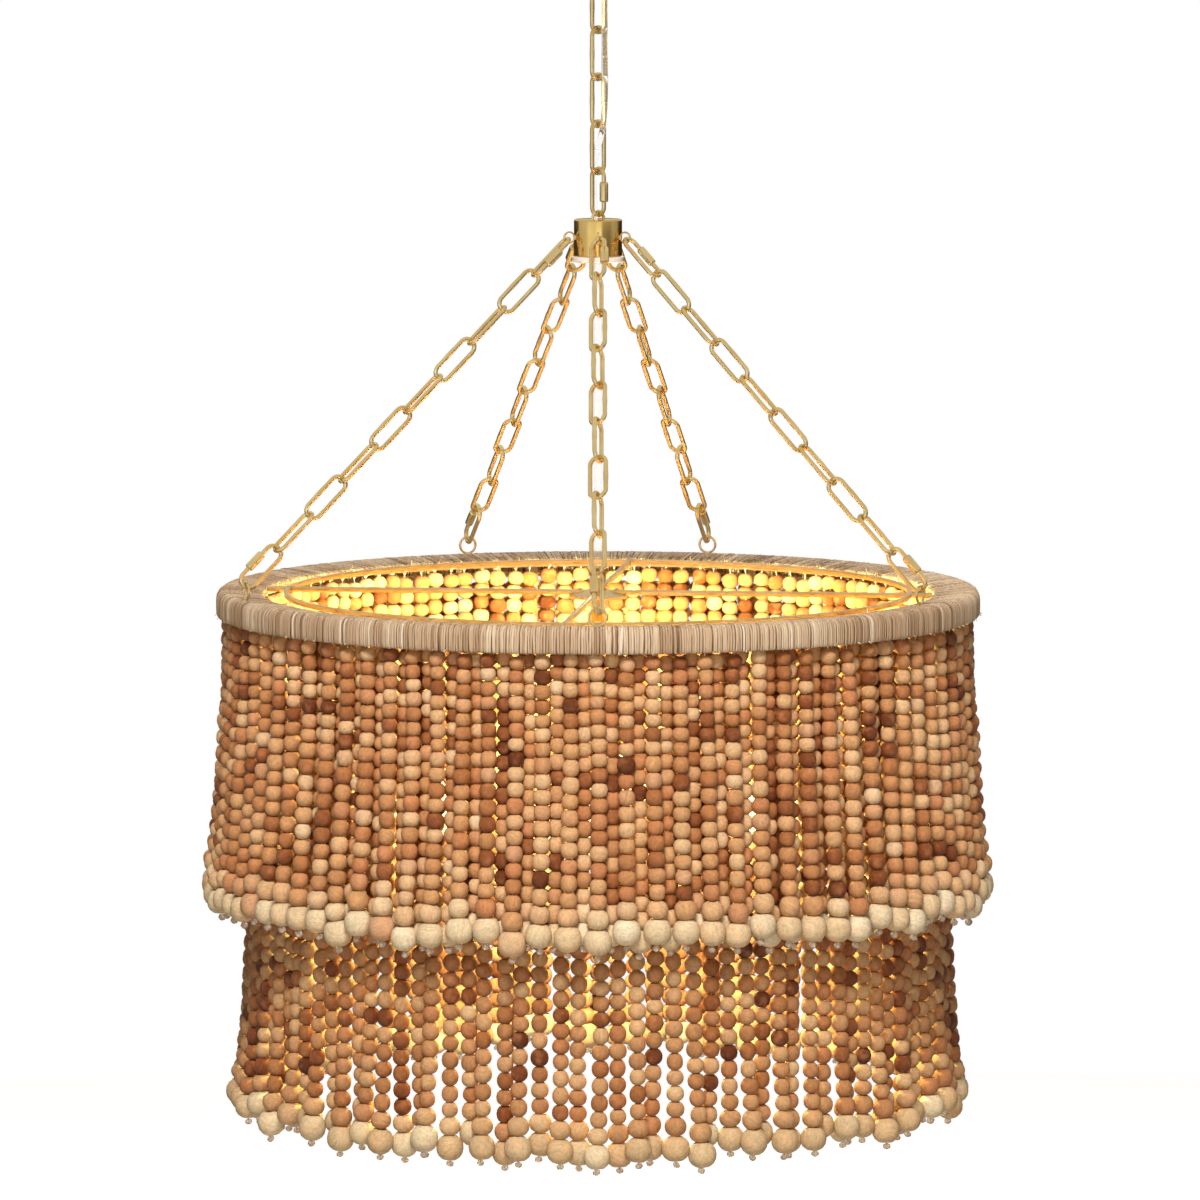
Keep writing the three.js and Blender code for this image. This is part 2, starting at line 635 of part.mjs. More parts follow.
function makeCross() {
  const group = new THREE.Group();
  const ring = hoop(crossRingRadius - barWidth / 2, crossRingRadius + barWidth / 2, -barHeight / 2,
    barHeight / 2, bandSteps);
  const barLength = 2 * (flatRadius(bandInner, bandSteps) - clearance);
  const bars = [0, quarterTurn].map((turn) => {
    const bar = new THREE.BoxGeometry(barLength, barWidth, barHeight);
    bar.rotateZ(turn);
    return bar;
  });
  const plateLow = -barHeight / 2 - crossPlateThickness;
  const plate = rod(crossPlateRadius, plateLow, 0, smallRoundSteps);
  group.add(partMesh('cross_bars', fuse([ring, ...bars, plate]), brass));

  const gripBore = (lowerCordWidth / 2 + clearance) / Math.cos(halfTurn / smallRoundSteps);
  const gripLow = barHeight / 2 + clearance;
  const grip = turned([
    [0, gripLow],
    [gripRadius, gripLow],
    [gripRadius, gripLow + gripHeight],
    [gripBore, gripLow + gripHeight],
    [gripBore, gripLow + gripHeight - cordTail],
    [0, gripLow + gripHeight - cordTail],
  ], smallRoundSteps);
  group.add(partMesh('cord_grip', grip, brass));

  const stemTop = plateLow - clearance;
  const stemLow = stemTop - lampStemLength;
  const stem = hoop(lampStemBore, lampStemRadius, stemLow, stemTop, smallRoundSteps);
  group.add(partMesh('lamp_stem', stem, brass));

  const bodyTop = stemLow - clearance;
  const bodyMiddle = bodyTop - lampBodyHeight / 2;
  const shoulderShare = 0.55;
  const body = turned([
    [0, bodyTop - lampBodyHeight],
    [lampBodyRadius * shoulderShare, bodyTop - lampBodyHeight],
    [lampBodyRadius, bodyMiddle - lampArmRadius],
    [lampBodyRadius, bodyMiddle + lampArmRadius],
    [lampBodyRadius * shoulderShare, bodyTop],
    [0, bodyTop],
  ], smallRoundSteps);
  const armEnd = bodyMiddle - lampArmDrop;
  const armCurve = new THREE.CatmullRomCurve3([
    new THREE.Vector3(lampBodyRadius / 2, 0, bodyMiddle),
    new THREE.Vector3(lampArmReach / 2, 0, bodyMiddle + lampArmRise),
    new THREE.Vector3(lampArmReach - 3 * lampArmRadius, 0, bodyMiddle + lampArmRise / 2),
    new THREE.Vector3(lampArmReach, 0, armEnd + lampArmDrop / 2),
    new THREE.Vector3(lampArmReach, 0, armEnd),
  ], false, 'centripetal');
  const lampTurns = [0, 1, 2, 3].map((index) => index * quarterTurn);
  const arms = lampTurns.map((turn) => {
    const arm = tubeAlong(armCurve, lampArmRadius, wireSides, lampArmSteps);
    arm.rotateZ(turn);
    return arm;
  });
  group.add(partMesh('lamp_arms', fuse([body, ...arms]), brass));

  const holderTop = armEnd - clearance;
  const holderLow = holderTop - holderHeight;
  const holderBore = holderRadius - holderWall;
  const capTop = holderLow + bulbCapLength;
  const holderShape = turned([
    [0, holderTop],
    [lampArmRadius * 2, holderTop],
    [holderRadius, holderTop - holderWall * 2],
    [holderRadius, holderLow],
    [holderBore, holderLow],
    [holderBore, capTop + clearance],
    [0, capTop + clearance],
  ].reverse(), smallRoundSteps);
  const bulbLow = capTop - bulbLength;
  const globe = bulbLow + bulbRadius;
  const globeProfile = Array.from({ length: globeSteps + 1 }, (_, step) => {
    const angle = -quarterTurn + (step / globeSteps) * (halfTurn * 2 / 3);
    return [bulbRadius * Math.cos(angle), globe + bulbRadius * Math.sin(angle)];
  });
  globeProfile[0][0] = 0;
  const bulbShape = turned([
    ...globeProfile,
    [bulbCapRadius, holderLow - clearance],
    [bulbCapRadius, capTop],
    [0, capTop],
  ], smallRoundSteps);
  lampTurns.forEach((turn, index) => {
    const lamp = new THREE.Group();
    lamp.rotation.z = turn;
    const holder = partMesh(`lamp_holder_${index + 1}`, holderShape.clone(), brass);
    holder.position.x = lampArmReach;
    const bulb = partMesh(`bulb_${index + 1}`, bulbShape.clone(), warmGlass);
    bulb.position.x = lampArmReach;
    lamp.add(holder, bulb);
    group.add(lamp);
  });
  group.rotation.z = radians(crossTurn);
  group.position.z = crossHeight;

  const whole = new THREE.Group();
  whole.add(group);
  const cordLow = crossHeight + gripLow + gripHeight - cordTail + clearance;
  const cordHigh = hubLow + hubSpigotHeight + cordTail;
  const cord = rod(lowerCordWidth / 2, cordLow, cordHigh, smallRoundSteps);
  whole.add(partMesh('lower_cord', cord, clearJacket));
  return whole;
}

// The outline of one sector of a curtain at one level: rounded strands in front, a plain back, closed.
// Between two strands, and at both ends, lies a valley.
function sectorOutline(level, strands) {
  const points = [];
  const sweep = fullTurn / sectorCount;
  const half = sweep / 2 - sectorGap / 2 / level.front;
  const pitch = 2 * half / strands;
  const addFront = (angle, radius, height) => {
    points.push(new THREE.Vector3(radius * Math.cos(angle), radius * Math.sin(angle), height));
  };
  addFront(-half, level.front - level.valley, level.height + level.rise);
  for (let index = 0; index < strands; index += 1) {
    const middle = -half + (index + 1 / 2) * pitch;
    addFront(middle - crownShare * pitch, level.front, level.height);
    addFront(middle + crownShare * pitch, level.front, level.height);
    addFront(middle + pitch / 2, level.front - level.valley, level.height + level.rise);
  }
  for (let index = backSteps; index >= 0; index -= 1) {
    const angle = -half + 2 * half * index / backSteps;
    points.push(new THREE.Vector3(level.back * Math.cos(angle), level.back * Math.sin(angle), level.height));
  }
  return points;
}

function curtainShape(curtain) {
  const levels = curtain.dropShares.map((dropShare, index) => {
    const middle = curtain.topRadius + curtain.flareShares[index] * (curtain.hemRadius - curtain.topRadius);
    return {
      height: curtain.top + dropShare * (curtain.hem - curtain.top),
      front: middle + curtain.beadWidth / 2,
      back: middle - curtain.beadWidth / 2 - curtain.backDepth,
      valley: valleyDepth,
      rise: 0,
    };
  });
  hemDropShares.forEach((dropShare, index) => {
    const reach = hemWidthShares[index] * curtain.hemBead / 2;
    levels.push({
      height: curtain.hem - dropShare * curtain.hemBead,
      front: curtain.hemRadius + reach,
      back: curtain.hemRadius - reach,
      valley: hemWidthShares[index] * hemValleyDepth,
      rise: hemRiseShares[index] * curtain.hemBead,
    });
  });
  const beadEnd = curtain.hemBead / 2;
  levels.push({
    height: curtain.hem - beadEnd - curtain.seedDrop,
    front: curtain.hemRadius + tipWidth / 2,
    back: curtain.hemRadius - tipWidth / 2,
    valley: tipWidth / 4,
    rise: beadEnd / 4 + curtain.seedDrop,
  });
  return loft(levels.map((level) => sectorOutline(level, curtain.strands)));
}

function makeCurtains() {
  const group = new THREE.Group();
  const upper = curtainShape({
    strands: upperStrandsPerSector,
    top: -apronHeight - hangGap,
    hem: -upperDrop,
    topRadius: upperTopRadius,
    hemRadius: upperHemRadius,
    beadWidth: upperBeadWidth,
    backDepth: upperBackDepth,
    hemBead: upperHemBead,
    seedDrop: upperSeedDrop,
    dropShares: upperDropShares,
    flareShares: upperFlareShares,
  });
  const lower = curtainShape({
    strands: lowerStrandsPerSector,
    top: -rimThickness - clearance - hoopThickness - hangGap,
    hem: -lowerDrop,
    topRadius: lowerTopRadius,
    hemRadius: lowerHemRadius,
    beadWidth: lowerBeadWidth,
    backDepth: 0,
    hemBead: lowerHemBead,
    seedDrop: lowerSeedDrop,
    dropShares: lowerDropShares,
    flareShares: lowerFlareShares,
  });
  for (let index = 0; index < sectorCount; index += 1) {
    const sector = new THREE.Group();
    sector.rotation.z = fullTurn * index / sectorCount;
    sector.position.z = bandTop;
    sector.add(partMesh(`upper_curtain_${index + 1}`, upper.clone(), upperWood));
    sector.add(partMesh(`lower_curtain_${index + 1}`, lower.clone(), lowerWood));
    group.add(sector);
  }
  return group;
}

const chandelier = new THREE.Group();
chandelier.add(makeCeilingFixing());
chandelier.add(makeMainChain());
chandelier.add(makeHub());
chandelier.add(makeSideChains());
chandelier.add(makeBand());
chandelier.add(makeCross());
chandelier.add(makeCurtains());

export default chandelier;
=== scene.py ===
"""A beaded chandelier: brass chains, a reed band and two bead curtains, lit from inside."""
import logging
import math
from dataclasses import dataclass, field
from enum import Enum

import bpy
import numpy as np
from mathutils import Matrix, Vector
from mathutils.kdtree import KDTree


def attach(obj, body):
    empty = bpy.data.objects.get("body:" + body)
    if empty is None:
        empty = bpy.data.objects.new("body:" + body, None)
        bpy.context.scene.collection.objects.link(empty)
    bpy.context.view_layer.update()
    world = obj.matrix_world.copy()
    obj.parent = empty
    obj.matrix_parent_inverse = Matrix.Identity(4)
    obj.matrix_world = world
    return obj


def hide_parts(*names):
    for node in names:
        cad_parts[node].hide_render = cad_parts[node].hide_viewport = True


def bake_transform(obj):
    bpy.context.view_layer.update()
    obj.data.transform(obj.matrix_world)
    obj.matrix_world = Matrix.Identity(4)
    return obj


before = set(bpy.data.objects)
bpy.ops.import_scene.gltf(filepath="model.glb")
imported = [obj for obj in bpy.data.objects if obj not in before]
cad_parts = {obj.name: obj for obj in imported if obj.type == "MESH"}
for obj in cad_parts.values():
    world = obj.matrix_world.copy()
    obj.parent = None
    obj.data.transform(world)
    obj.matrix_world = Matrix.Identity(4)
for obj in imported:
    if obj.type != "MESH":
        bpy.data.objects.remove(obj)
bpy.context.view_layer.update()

LOG = logging.getLogger("chandelier")
MM = 0.001
FULL_TURN = 2 * math.pi
QUARTER_TURN = math.pi / 2
Socket = bpy.types.NodeSocket
Colour = tuple[float, float, float]
Place = tuple[float, float, float]
Pair = tuple[float, float]
Outline = list[Pair]
Stops = tuple[tuple[float, Colour], ...]
Array = np.ndarray
Shape = tuple[Array, list[Array]]
Draws = np.random.Generator
Material = bpy.types.Material


def srgb(red: int, green: int, blue: int) -> Colour:
    """Turns a screen colour, from 0 to 255, into the linear one that a shader takes."""
    def linear(value: int) -> float:
        """Returns one channel as linear light."""
        share = value / 255
        return share / 12.92 if share <= 0.04045 else ((share + 0.055) / 1.055) ** 2.4

    return linear(red), linear(green), linear(blue)


# Shapes


def enclosed(points: Array, faces: list[Array]) -> float:
    """Returns the volume that the faces close in, below zero where they face inwards."""
    centre = points.mean(axis=0)
    total = 0.0
    for block in faces:
        corner = points[block] - centre
        for step in range(1, block.shape[1] - 1):
            normal = np.cross(corner[:, step], corner[:, step + 1])
            total += float(np.einsum("ij,ij->", corner[:, 0], normal))
    return total / 6


@dataclass
class MeshMaker:
    """Gathers closed shapes into one mesh, with a tone and a grain place for every point."""

    name: str
    points: list[Array] = field(default_factory=list)
    corners: list[Array] = field(default_factory=list)
    sizes: list[Array] = field(default_factory=list)
    tones: list[Array] = field(default_factory=list)
    grains: list[Array] = field(default_factory=list)
    count: int = 0

    def add(self, shape: Shape, tone: float | Array = 0.5, grain: Array | None = None) -> None:
        """Adds one shape, or many that share one array.

        Args:
            shape: Points and the face arrays that join them.
            tone: One tone for the whole shape, or one for each point.
            grain: The place of each point in its own piece of wood, or None for its place in
                the room.
        """
        points, faces = shape
        self.points.append(points)
        inside_out = enclosed(points, faces) < 0
        for block in faces:
            facing = block[:, ::-1] if inside_out else block
            self.corners.append((facing + self.count).ravel())
            self.sizes.append(np.full(len(block), block.shape[1], np.int32))
        self.tones.append(np.broadcast_to(np.asarray(tone, np.float32), (len(points),)))
        self.grains.append(points if grain is None else grain)
        self.count += len(points)

    def build(self, finish: Material, body: str, slot: str,
              stands_for: tuple[str, ...] = ()) -> bpy.types.Object:
        """Makes the object, dresses it and hangs it on its body.

        Args:
            finish: The material.
            body: The moving body that carries the piece, or nothing for one that bends
                between two.
            slot: The name of a material slot; not used.
            stands_for: The solids that the piece takes the place of.

        Returns:
            The finished object.
        """
        mesh = bpy.data.meshes.new(self.name)
        points = np.concatenate(self.points).astype(np.float32)
        corners = np.concatenate(self.corners).astype(np.int32)
        sizes = np.concatenate(self.sizes)
        mesh.vertices.add(len(points))
        mesh.vertices.foreach_set("co", points.ravel())
        mesh.loops.add(len(corners))
        mesh.loops.foreach_set("vertex_index", corners)
        mesh.polygons.add(len(sizes))
        mesh.polygons.foreach_set("loop_start", (np.cumsum(sizes) - sizes).astype(np.int32))
        mesh.polygons.foreach_set("use_smooth", np.full(len(sizes), True))
        mesh.update(calc_edges=True)
        tone = mesh.attributes.new("tone", "FLOAT", "POINT")
        tone.data.foreach_set("value", np.concatenate(self.tones).astype(np.float32))
        grain = mesh.attributes.new("grain", "FLOAT_VECTOR", "POINT")
        grain.data.foreach_set("vector", np.concatenate(self.grains).astype(np.float32).ravel())
        mesh.materials.append(finish)
        made = bpy.data.objects.new(self.name, mesh)
        bpy.context.scene.collection.objects.link(made)
        if body:
            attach(made, body)
        if stands_for:
            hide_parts(*stands_for)
        LOG.info("%s: %d faces on %s", self.name, len(sizes), body or "two bodies")
        return made


def make(name: str, finish: Material, stands_for: str, shapes: list[Shape],
         body: str = "fixture", slot: str = "brass") -> bpy.types.Object:
    """Makes one plain piece from its shapes.

    Args:
        name: The piece's name.
        finish: The material.
        stands_for: The solid that the piece takes the place of.
        shapes: The closed shapes that it is made of.
        body: The moving body that carries it.
        slot: The name of a material slot, passed on but not used.

    Returns:
        The finished object.
    """
    maker = MeshMaker(name)
    for shape in shapes:
        maker.add(shape)
    return maker.build(finish, body, slot, (stands_for,))


def round_steps(steps: int) -> Array:
    """Returns the angles of that many equal steps round a full turn."""
    return FULL_TURN * np.arange(steps) / steps


def ring_faces(rings: int, sides: int, closed: bool) -> Array:
    """Returns the quads between rings of points, joined end to end if closed."""
    spans = rings if closed else rings - 1
    ring = np.arange(spans)[:, None] * sides
    after = (np.arange(1, spans + 1)[:, None] % rings) * sides
    side = np.arange(sides)[None, :]
    turn = (side + 1) % sides
    return np.stack([ring + side, ring + turn, after + turn, after + side], axis=-1).reshape(-1, 4)


def tube(path: Array, radius: float | Array, sides: int, closed: bool = False) -> Shape:
    """Sweeps a round section along a path.

    Args:
        path: The points of the centre line.
        radius: One radius, or one for each point.
        sides: The number of sides of the section.
        closed: Whether the path runs back to its start.

    Returns:
        The tube, with flat ends where it is open.
    """
    steps = len(path)
    if closed:
        along = np.roll(path, -1, axis=0) - np.roll(path, 1, axis=0)
    else:
        along = np.gradient(path, axis=0)
    along /= np.linalg.norm(along, axis=1, keepdims=True)
    skew = [0.31, 0.57, 0.76]
    start = np.cross(along[0], skew)
    normals = [start / np.linalg.norm(start)]
    for step in range(1, steps):
        flat = normals[-1] - along[step] * (normals[-1] @ along[step])
        normals.append(flat / np.linalg.norm(flat))
    across = np.array(normals)
    up = np.cross(along, across)
    turned = np.repeat(round_steps(sides)[None, :], steps, 0)
    if closed:
        sine = float(np.cross(across[-1], across[0]) @ along[0])
        drift = math.atan2(sine, float(across[-1] @ across[0]))
        turned = turned + (drift * np.arange(steps) / steps)[:, None]
    wide = np.broadcast_to(np.asarray(radius, float), (steps,))[:, None, None]
    ring = (across[:, None, :] * np.cos(turned)[..., None]
            + up[:, None, :] * np.sin(turned)[..., None])
    points = (path[:, None, :] + wide * ring).reshape(-1, 3)
    faces = [ring_faces(steps, sides, closed)]
    if not closed:
        last = (steps - 1) * sides
        faces.append(np.arange(sides)[None, ::-1])
        faces.append(last + np.arange(sides)[None, :])
    return points, faces


def lathe(profile: Outline, steps: int) -> Shape:
    """Turns a profile about the upright axis.

    Args:
        profile: Radius and height pairs in millimetres. It starts and ends on the axis, or is
            closed on itself.
        steps: The number of steps round.

    Returns:
        The turned body, in metres.
    """
    outline = np.array(profile, float) * MM
    on_axis = outline[0][0] == 0
    if on_axis:
        ring = outline[1:-1]
    else:
        ring = outline[:-1] if np.array_equal(outline[0], outline[-1]) else outline
    angle = round_steps(steps)
    circle = np.stack([np.cos(angle), np.sin(angle)], axis=-1)
    height = np.repeat(ring[:, None, 1:], steps, 1)
    side_points = np.concatenate([ring[:, None, :1] * circle, height], axis=-1).reshape(-1, 3)
    if not on_axis:
        return side_points, [ring_faces(len(ring), steps, True)]
    ends = np.array([[0, 0, outline[0][1]], [0, 0, outline[-1][1]]])
    points = np.concatenate([side_points, ends])
    first, last = len(points) - 2, len(points) - 1
    side = np.arange(steps)
    turn = (side + 1) % steps
    low = (len(ring) - 1) * steps
    cap = np.stack([np.full(steps, first), turn, side], axis=-1)
    base = np.stack([np.full(steps, last), low + side, low + turn], axis=-1)
    return points, [ring_faces(len(ring), steps, False), cap, base]


def rounded(corners: Outline, radius: float, steps: int = 4) -> Outline:
    """Rounds the inner corners of an open profile.

    Args:
        corners: The corners as pairs.
        radius: How far from a corner the bend starts.
        steps: The number of steps of each bend.

    Returns:
        The profile with a bend at every corner but the two ends.
    """
    outline = np.array(corners, float)
    short_leg = 2.01
    made = [tuple(outline[0])]
    for before, corner, after in zip(outline, outline[1:], outline[2:]):
        back, on = before - corner, after - corner
        reach = min(radius, np.linalg.norm(back) / short_leg, np.linalg.norm(on) / short_leg)
        start = corner + back / np.linalg.norm(back) * reach
        end = corner + on / np.linalg.norm(on) * reach
        for step in range(steps + 1):
            share = step / steps
            point = (1 - share) ** 2 * start + 2 * share * (1 - share) * corner + share ** 2 * end
            made.append(tuple(point))
    made.append(tuple(outline[-1]))
    return made


def moved(shape: Shape, turn: Array | None = None, shift: Place = (0, 0, 0)) -> Shape:
    """Returns the shape turned by a matrix and then shifted, in metres."""
    points, faces = shape
    if turn is not None:
        points = points @ turn.T
    return points + np.asarray(shift, float), faces


def about(axis: str, angle: float) -> Array:
    """Returns the matrix of a turn about x, y or z, in radians."""
    cos, sin = math.cos(angle), math.sin(angle)
    if axis == "x":
        return np.array([[1, 0, 0], [0, cos, -sin], [0, sin, cos]])
    if axis == "y":
        return np.array([[cos, 0, sin], [0, 1, 0], [-sin, 0, cos]])
    return np.array([[cos, -sin, 0], [sin, cos, 0], [0, 0, 1]])


def oval_path(inner: float, width: float, wire: float, bend_steps: int = 14) -> Array:
    """Draws the centre line of an oval wire link in the XY plane, with its long axis on X.

    Args:
        inner: The inner length.
        width: The outer width.
        wire: The wire's thickness. All three are in millimetres.
        bend_steps: The number of steps of each round end.

    Returns:
        The points in metres.
    """
    leg_points = 8
    bend = (width - wire) / 2
    half = (inner + wire) / 2 - bend
    angle = np.linspace(-QUARTER_TURN, QUARTER_TURN, bend_steps + 1)
    right = np.stack([half + bend * np.cos(angle), bend * np.sin(angle)], axis=-1)
    left = -right
    leg = np.linspace(0, 1, leg_points)[1:-1, None]
    top = right[-1] + (left[0] - right[-1]) * leg
    low = left[-1] + (right[0] - left[-1]) * leg
    flat = np.concatenate([right, top, left, low]) * MM
    return np.concatenate([flat, np.zeros((len(flat), 1))], axis=-1)


def spline(nodes: Array, count: int) -> Array:
    """Returns a smooth curve through the nodes as that many points."""
    gaps = np.linalg.norm(np.diff(nodes, axis=0), axis=1) ** 0.5
    knots = np.concatenate([[0.0], np.cumsum(gaps)])
    slopes = np.gradient(nodes, knots, axis=0)
    shares = np.linspace(0, knots[-1], count)
    index = np.clip(np.searchsorted(knots, shares, side="right") - 1, 0, len(gaps) - 1)
    gap = (knots[index + 1] - knots[index])[:, None]
    t = ((shares - knots[index])[:, None]) / gap
    return ((2 * t ** 3 - 3 * t ** 2 + 1) * nodes[index]
            + (t ** 3 - 2 * t ** 2 + t) * gap * slopes[index]
            + (3 * t ** 2 - 2 * t ** 3) * nodes[index + 1]
            + (t ** 3 - t ** 2) * gap * slopes[index + 1])


def wire_ring(radius: float, wire: float) -> Shape:
    """Returns a round ring in the XZ plane, from its mean radius and its wire in millimetres."""
    angle, sides = round_steps(36), 10
    path = np.stack([np.cos(angle), np.zeros_like(angle), np.sin(angle)], axis=-1) * radius * MM
    return tube(path, wire / 2 * MM, sides, closed=True)


def crowned_box(low: Place, high: Place, edge: float) -> Shape:
    """Makes a box with chamfered edges and cut corners.

    Args:
        low: The lowest corner in millimetres.
        high: The highest corner in millimetres.
        edge: The width of the chamfer.

    Returns:
        The box in metres.
    """
    middle = (np.array(low, float) + np.array(high, float)) / 2
    half = (np.array(high, float) - np.array(low, float)) / 2
    cut = edge * 0.6
    levels = [(-half[2], edge), (-half[2] + edge, 0.0), (half[2] - edge, 0.0), (half[2], edge)]
    rings = []
    for height, inset in levels:
        x, y = half[0] - inset, half[1] - inset
        ring = [(x, -y + cut), (x, y - cut), (x - cut, y), (-x + cut, y),
                (-x, y - cut), (-x, -y + cut), (-x + cut, -y), (x - cut, -y)]
        rings.extend([(px, py, height) for px, py in ring])
    sides = len(ring)
    points = (np.array(rings) + middle) * MM
    caps = [np.arange(sides)[None, ::-1], (len(levels) - 1) * sides + np.arange(sides)[None, :]]
    return points, [ring_faces(len(levels), sides, False), *caps]


# Finishes


class NodeTree:
    """A tree of shader nodes in the making."""

    def __init__(self, tree: bpy.types.NodeTree) -> None:
        """Takes the tree that the nodes go into."""
        self.tree = tree

    def node(self, kind: str, inputs: dict[str | int, object] | None = None,
             **settings: object) -> bpy.types.Node:
        """Adds a node of that kind, with values or sockets for its inputs and its settings."""
        made = self.tree.nodes.new("ShaderNode" + kind)
        for name, value in settings.items():
            setattr(made, name, value)
        for name, value in (inputs or {}).items():
            self.feed(made.inputs[name], value)
        return made

    def feed(self, target: Socket, value: object) -> None:
        """Links a socket to the target, or sets its plain value."""
        if isinstance(value, bpy.types.NodeSocket):
            self.tree.links.new(value, target)
        elif isinstance(value, tuple) and len(value) == 3 and target.type == "RGBA":
            target.default_value = (*value, 1.0)
        else:
            target.default_value = value

    def scaled(self, vector: Socket, scale: Place) -> Socket:
        """Returns the vector stretched along each axis."""
        return self.node("VectorMath", {0: vector, 1: scale}, operation="MULTIPLY").outputs[0]

    def noise(self, vector: Socket, scale: float, detail: float = 3.0,
              roughness: float = 0.55) -> Socket:
        """Returns noise from 0 to 1 at that scale."""
        inputs = {"Vector": vector, "Scale": scale, "Detail": detail, "Roughness": roughness}
        return self.node("TexNoise", inputs).outputs["Fac"]

    def ramp(self, factor: Socket, stops: Stops) -> Socket:
        """Returns the colour that the factor picks between the stops."""
        made = self.node("ValToRGB", {"Fac": factor})
        elements = made.color_ramp.elements
        while len(elements) < len(stops):
            elements.new(0.5)
        for element, (place, colour) in zip(elements, stops):
            element.position = place
            element.color = (*colour, 1.0)
        return made.outputs["Color"]

    def between(self, value: Socket, low: float, high: float, to_low: float = 0.0,
                to_high: float = 1.0) -> Socket:
        """Returns the value carried from one range to another and kept inside it."""
        inputs = {"Value": value, "From Min": low, "From Max": high, "To Min": to_low,
                  "To Max": to_high}
        return self.node("MapRange", inputs, clamp=True).outputs["Result"]

    def mix(self, factor: object, first: object, second: object, blend: str = "MIX") -> Socket:
        """Returns a mix of two colours."""
        made = self.node("Mix", data_type="RGBA", blend_type=blend)
        for index, value in ((0, factor), (6, first), (7, second)):
            self.feed(made.inputs[index], value)
        return made.outputs[2]

    def math(self, operation: str, first: object, second: object) -> Socket:
        """Returns what the named operation makes of two values."""
        return self.node("Math", {0: first, 1: second}, operation=operation).outputs[0]

    def seen(self) -> Socket:
        """Returns 1 where the eye looks, straight or through glass, and else 0."""
        rays = self.node("LightPath").outputs
        return self.math("MAXIMUM", rays["Is Camera Ray"], rays["Is Transmission Ray"])


class Shader(NodeTree):
    """A node material in the making, with one shader that its finishes feed."""

    def __init__(self, name: str) -> None:
        """Starts the material under that name."""
        self.material = bpy.data.materials.new(name)
        self.material.use_nodes = True
        super().__init__(self.material.node_tree)
        self.surface = self.tree.nodes["Principled BSDF"]

    def wear(self, **inputs: object) -> None:
        """Feeds the surface's inputs, named with underscores for spaces."""
        for name, value in inputs.items():
            self.feed(self.surface.inputs[name.replace("_", " ")], value)

    def attribute(self, name: str, output: str = "Fac") -> Socket:
        """Returns a mesh attribute as a socket."""
        return self.node("Attribute", attribute_name=name).outputs[output]

    def place(self) -> Socket:
        """Returns the place on the piece itself, in metres."""
        return self.node("TexCoord").outputs["Object"]

    def bump(self, height: Socket, distance: float) -> None:
        """Raises the surface by the height, up to that distance in metres."""
        inputs = {"Height": height, "Distance": distance, "Strength": 1.0}
        self.feed(self.surface.inputs["Normal"], self.node("Bump", inputs).outputs["Normal"])


@dataclass(frozen=True)
class BeadWood:
    """Turned wood beads: each has its own tone, with soft clouds, faint streaks and fine pores.

    The scales are in turns of the noise for each metre, the last one along the bead's hole.
    """

    name: str
    stops: Stops
    grain_depth: float = 0.18
    roughness: float = 0.5
    roughness_spread: float = 0.16
    warm_tint: Colour = srgb(190, 130, 88)
    cloud_scale: float = 95.0
    streak_scale: Place = (1500.0, 1500.0, 120.0)
    ring_scale: Place = (420.0, 60.0, 60.0)
    mottle_scale: Place = (520.0, 520.0, 260.0)
    pore_scale: Place = (2600.0, 2600.0, 420.0)
    pore_depth: float = 0.00006

    def material(self) -> Material:
        """Writes the node material and returns it."""
        shader = Shader(self.name)
        grain = shader.attribute("grain", "Vector")
        colour = shader.ramp(shader.attribute("tone"), self.stops)
        streak = shader.noise(shader.scaled(grain, self.streak_scale), 1.0, 3.0, 0.6)
        rings = shader.noise(shader.scaled(grain, self.ring_scale), 1.0, 2.0, 0.5)
        cloud = shader.noise(grain, self.cloud_scale, 2.0)
        mottle = shader.noise(shader.scaled(grain, self.mottle_scale), 1.0, 3.0, 0.7)
        shade = shader.between(streak, 0.3, 0.7, 1.0 - self.grain_depth)
        for pattern in (shader.between(mottle, 0.34, 0.6, 0.74),
                        shader.between(rings, 0.32, 0.68, 1.0 - self.grain_depth),
                        shader.between(cloud, 0.3, 0.7, 0.86)):
            shade = shader.math("MULTIPLY", shade, pattern)
        grey = shader.ramp(shade, ((0.0, (0.0, 0.0, 0.0)), (1.0, (1.0, 1.0, 1.0))))
        tinted = shader.mix(1.0, colour, grey, "MULTIPLY")
        warmth = shader.between(cloud, 0.5, 0.72, 0.0, 0.3)
        pore = shader.noise(shader.scaled(grain, self.pore_scale), 1.0, 2.0)
        rough = shader.between(pore, 0.3, 0.7, self.roughness,
                               self.roughness + self.roughness_spread)
        shader.wear(Base_Color=shader.mix(warmth, tinted, self.warm_tint), Roughness=rough,
                    Specular_IOR_Level=0.4, Subsurface_Weight=0.06, Subsurface_Scale=0.004,
                    Subsurface_Radius=(1.0, 0.45, 0.2))
        shader.bump(pore, self.pore_depth)
        return shader.material


@dataclass(frozen=True)
class Brass:
    """Brass plate or wire with fine drawing lines and a few cloudy patches."""

    name: str
    bright: Colour
    deep: Colour
    roughness: float
    line_scale: Place = (500.0, 500.0, 500.0)
    cloud_scale: float = 30.0
    line_depth: float = 0.000012

    def material(self) -> Material:
        """Writes the node material and returns it."""
        shader = Shader(self.name)
        place = shader.place()
        cloud = shader.noise(place, self.cloud_scale, 2.0)
        fine = shader.noise(shader.scaled(place, self.line_scale), 1.0, 3.0)
        stops = ((0.0, self.deep), (1.0, self.bright))
        colour = shader.ramp(shader.between(cloud, 0.3, 0.7), stops)
        rough = shader.between(fine, 0.3, 0.7, self.roughness, self.roughness + 0.07)
        shader.wear(Base_Color=colour, Metallic=1.0, Roughness=rough)
        shader.bump(fine, self.line_depth)
        return shader.material


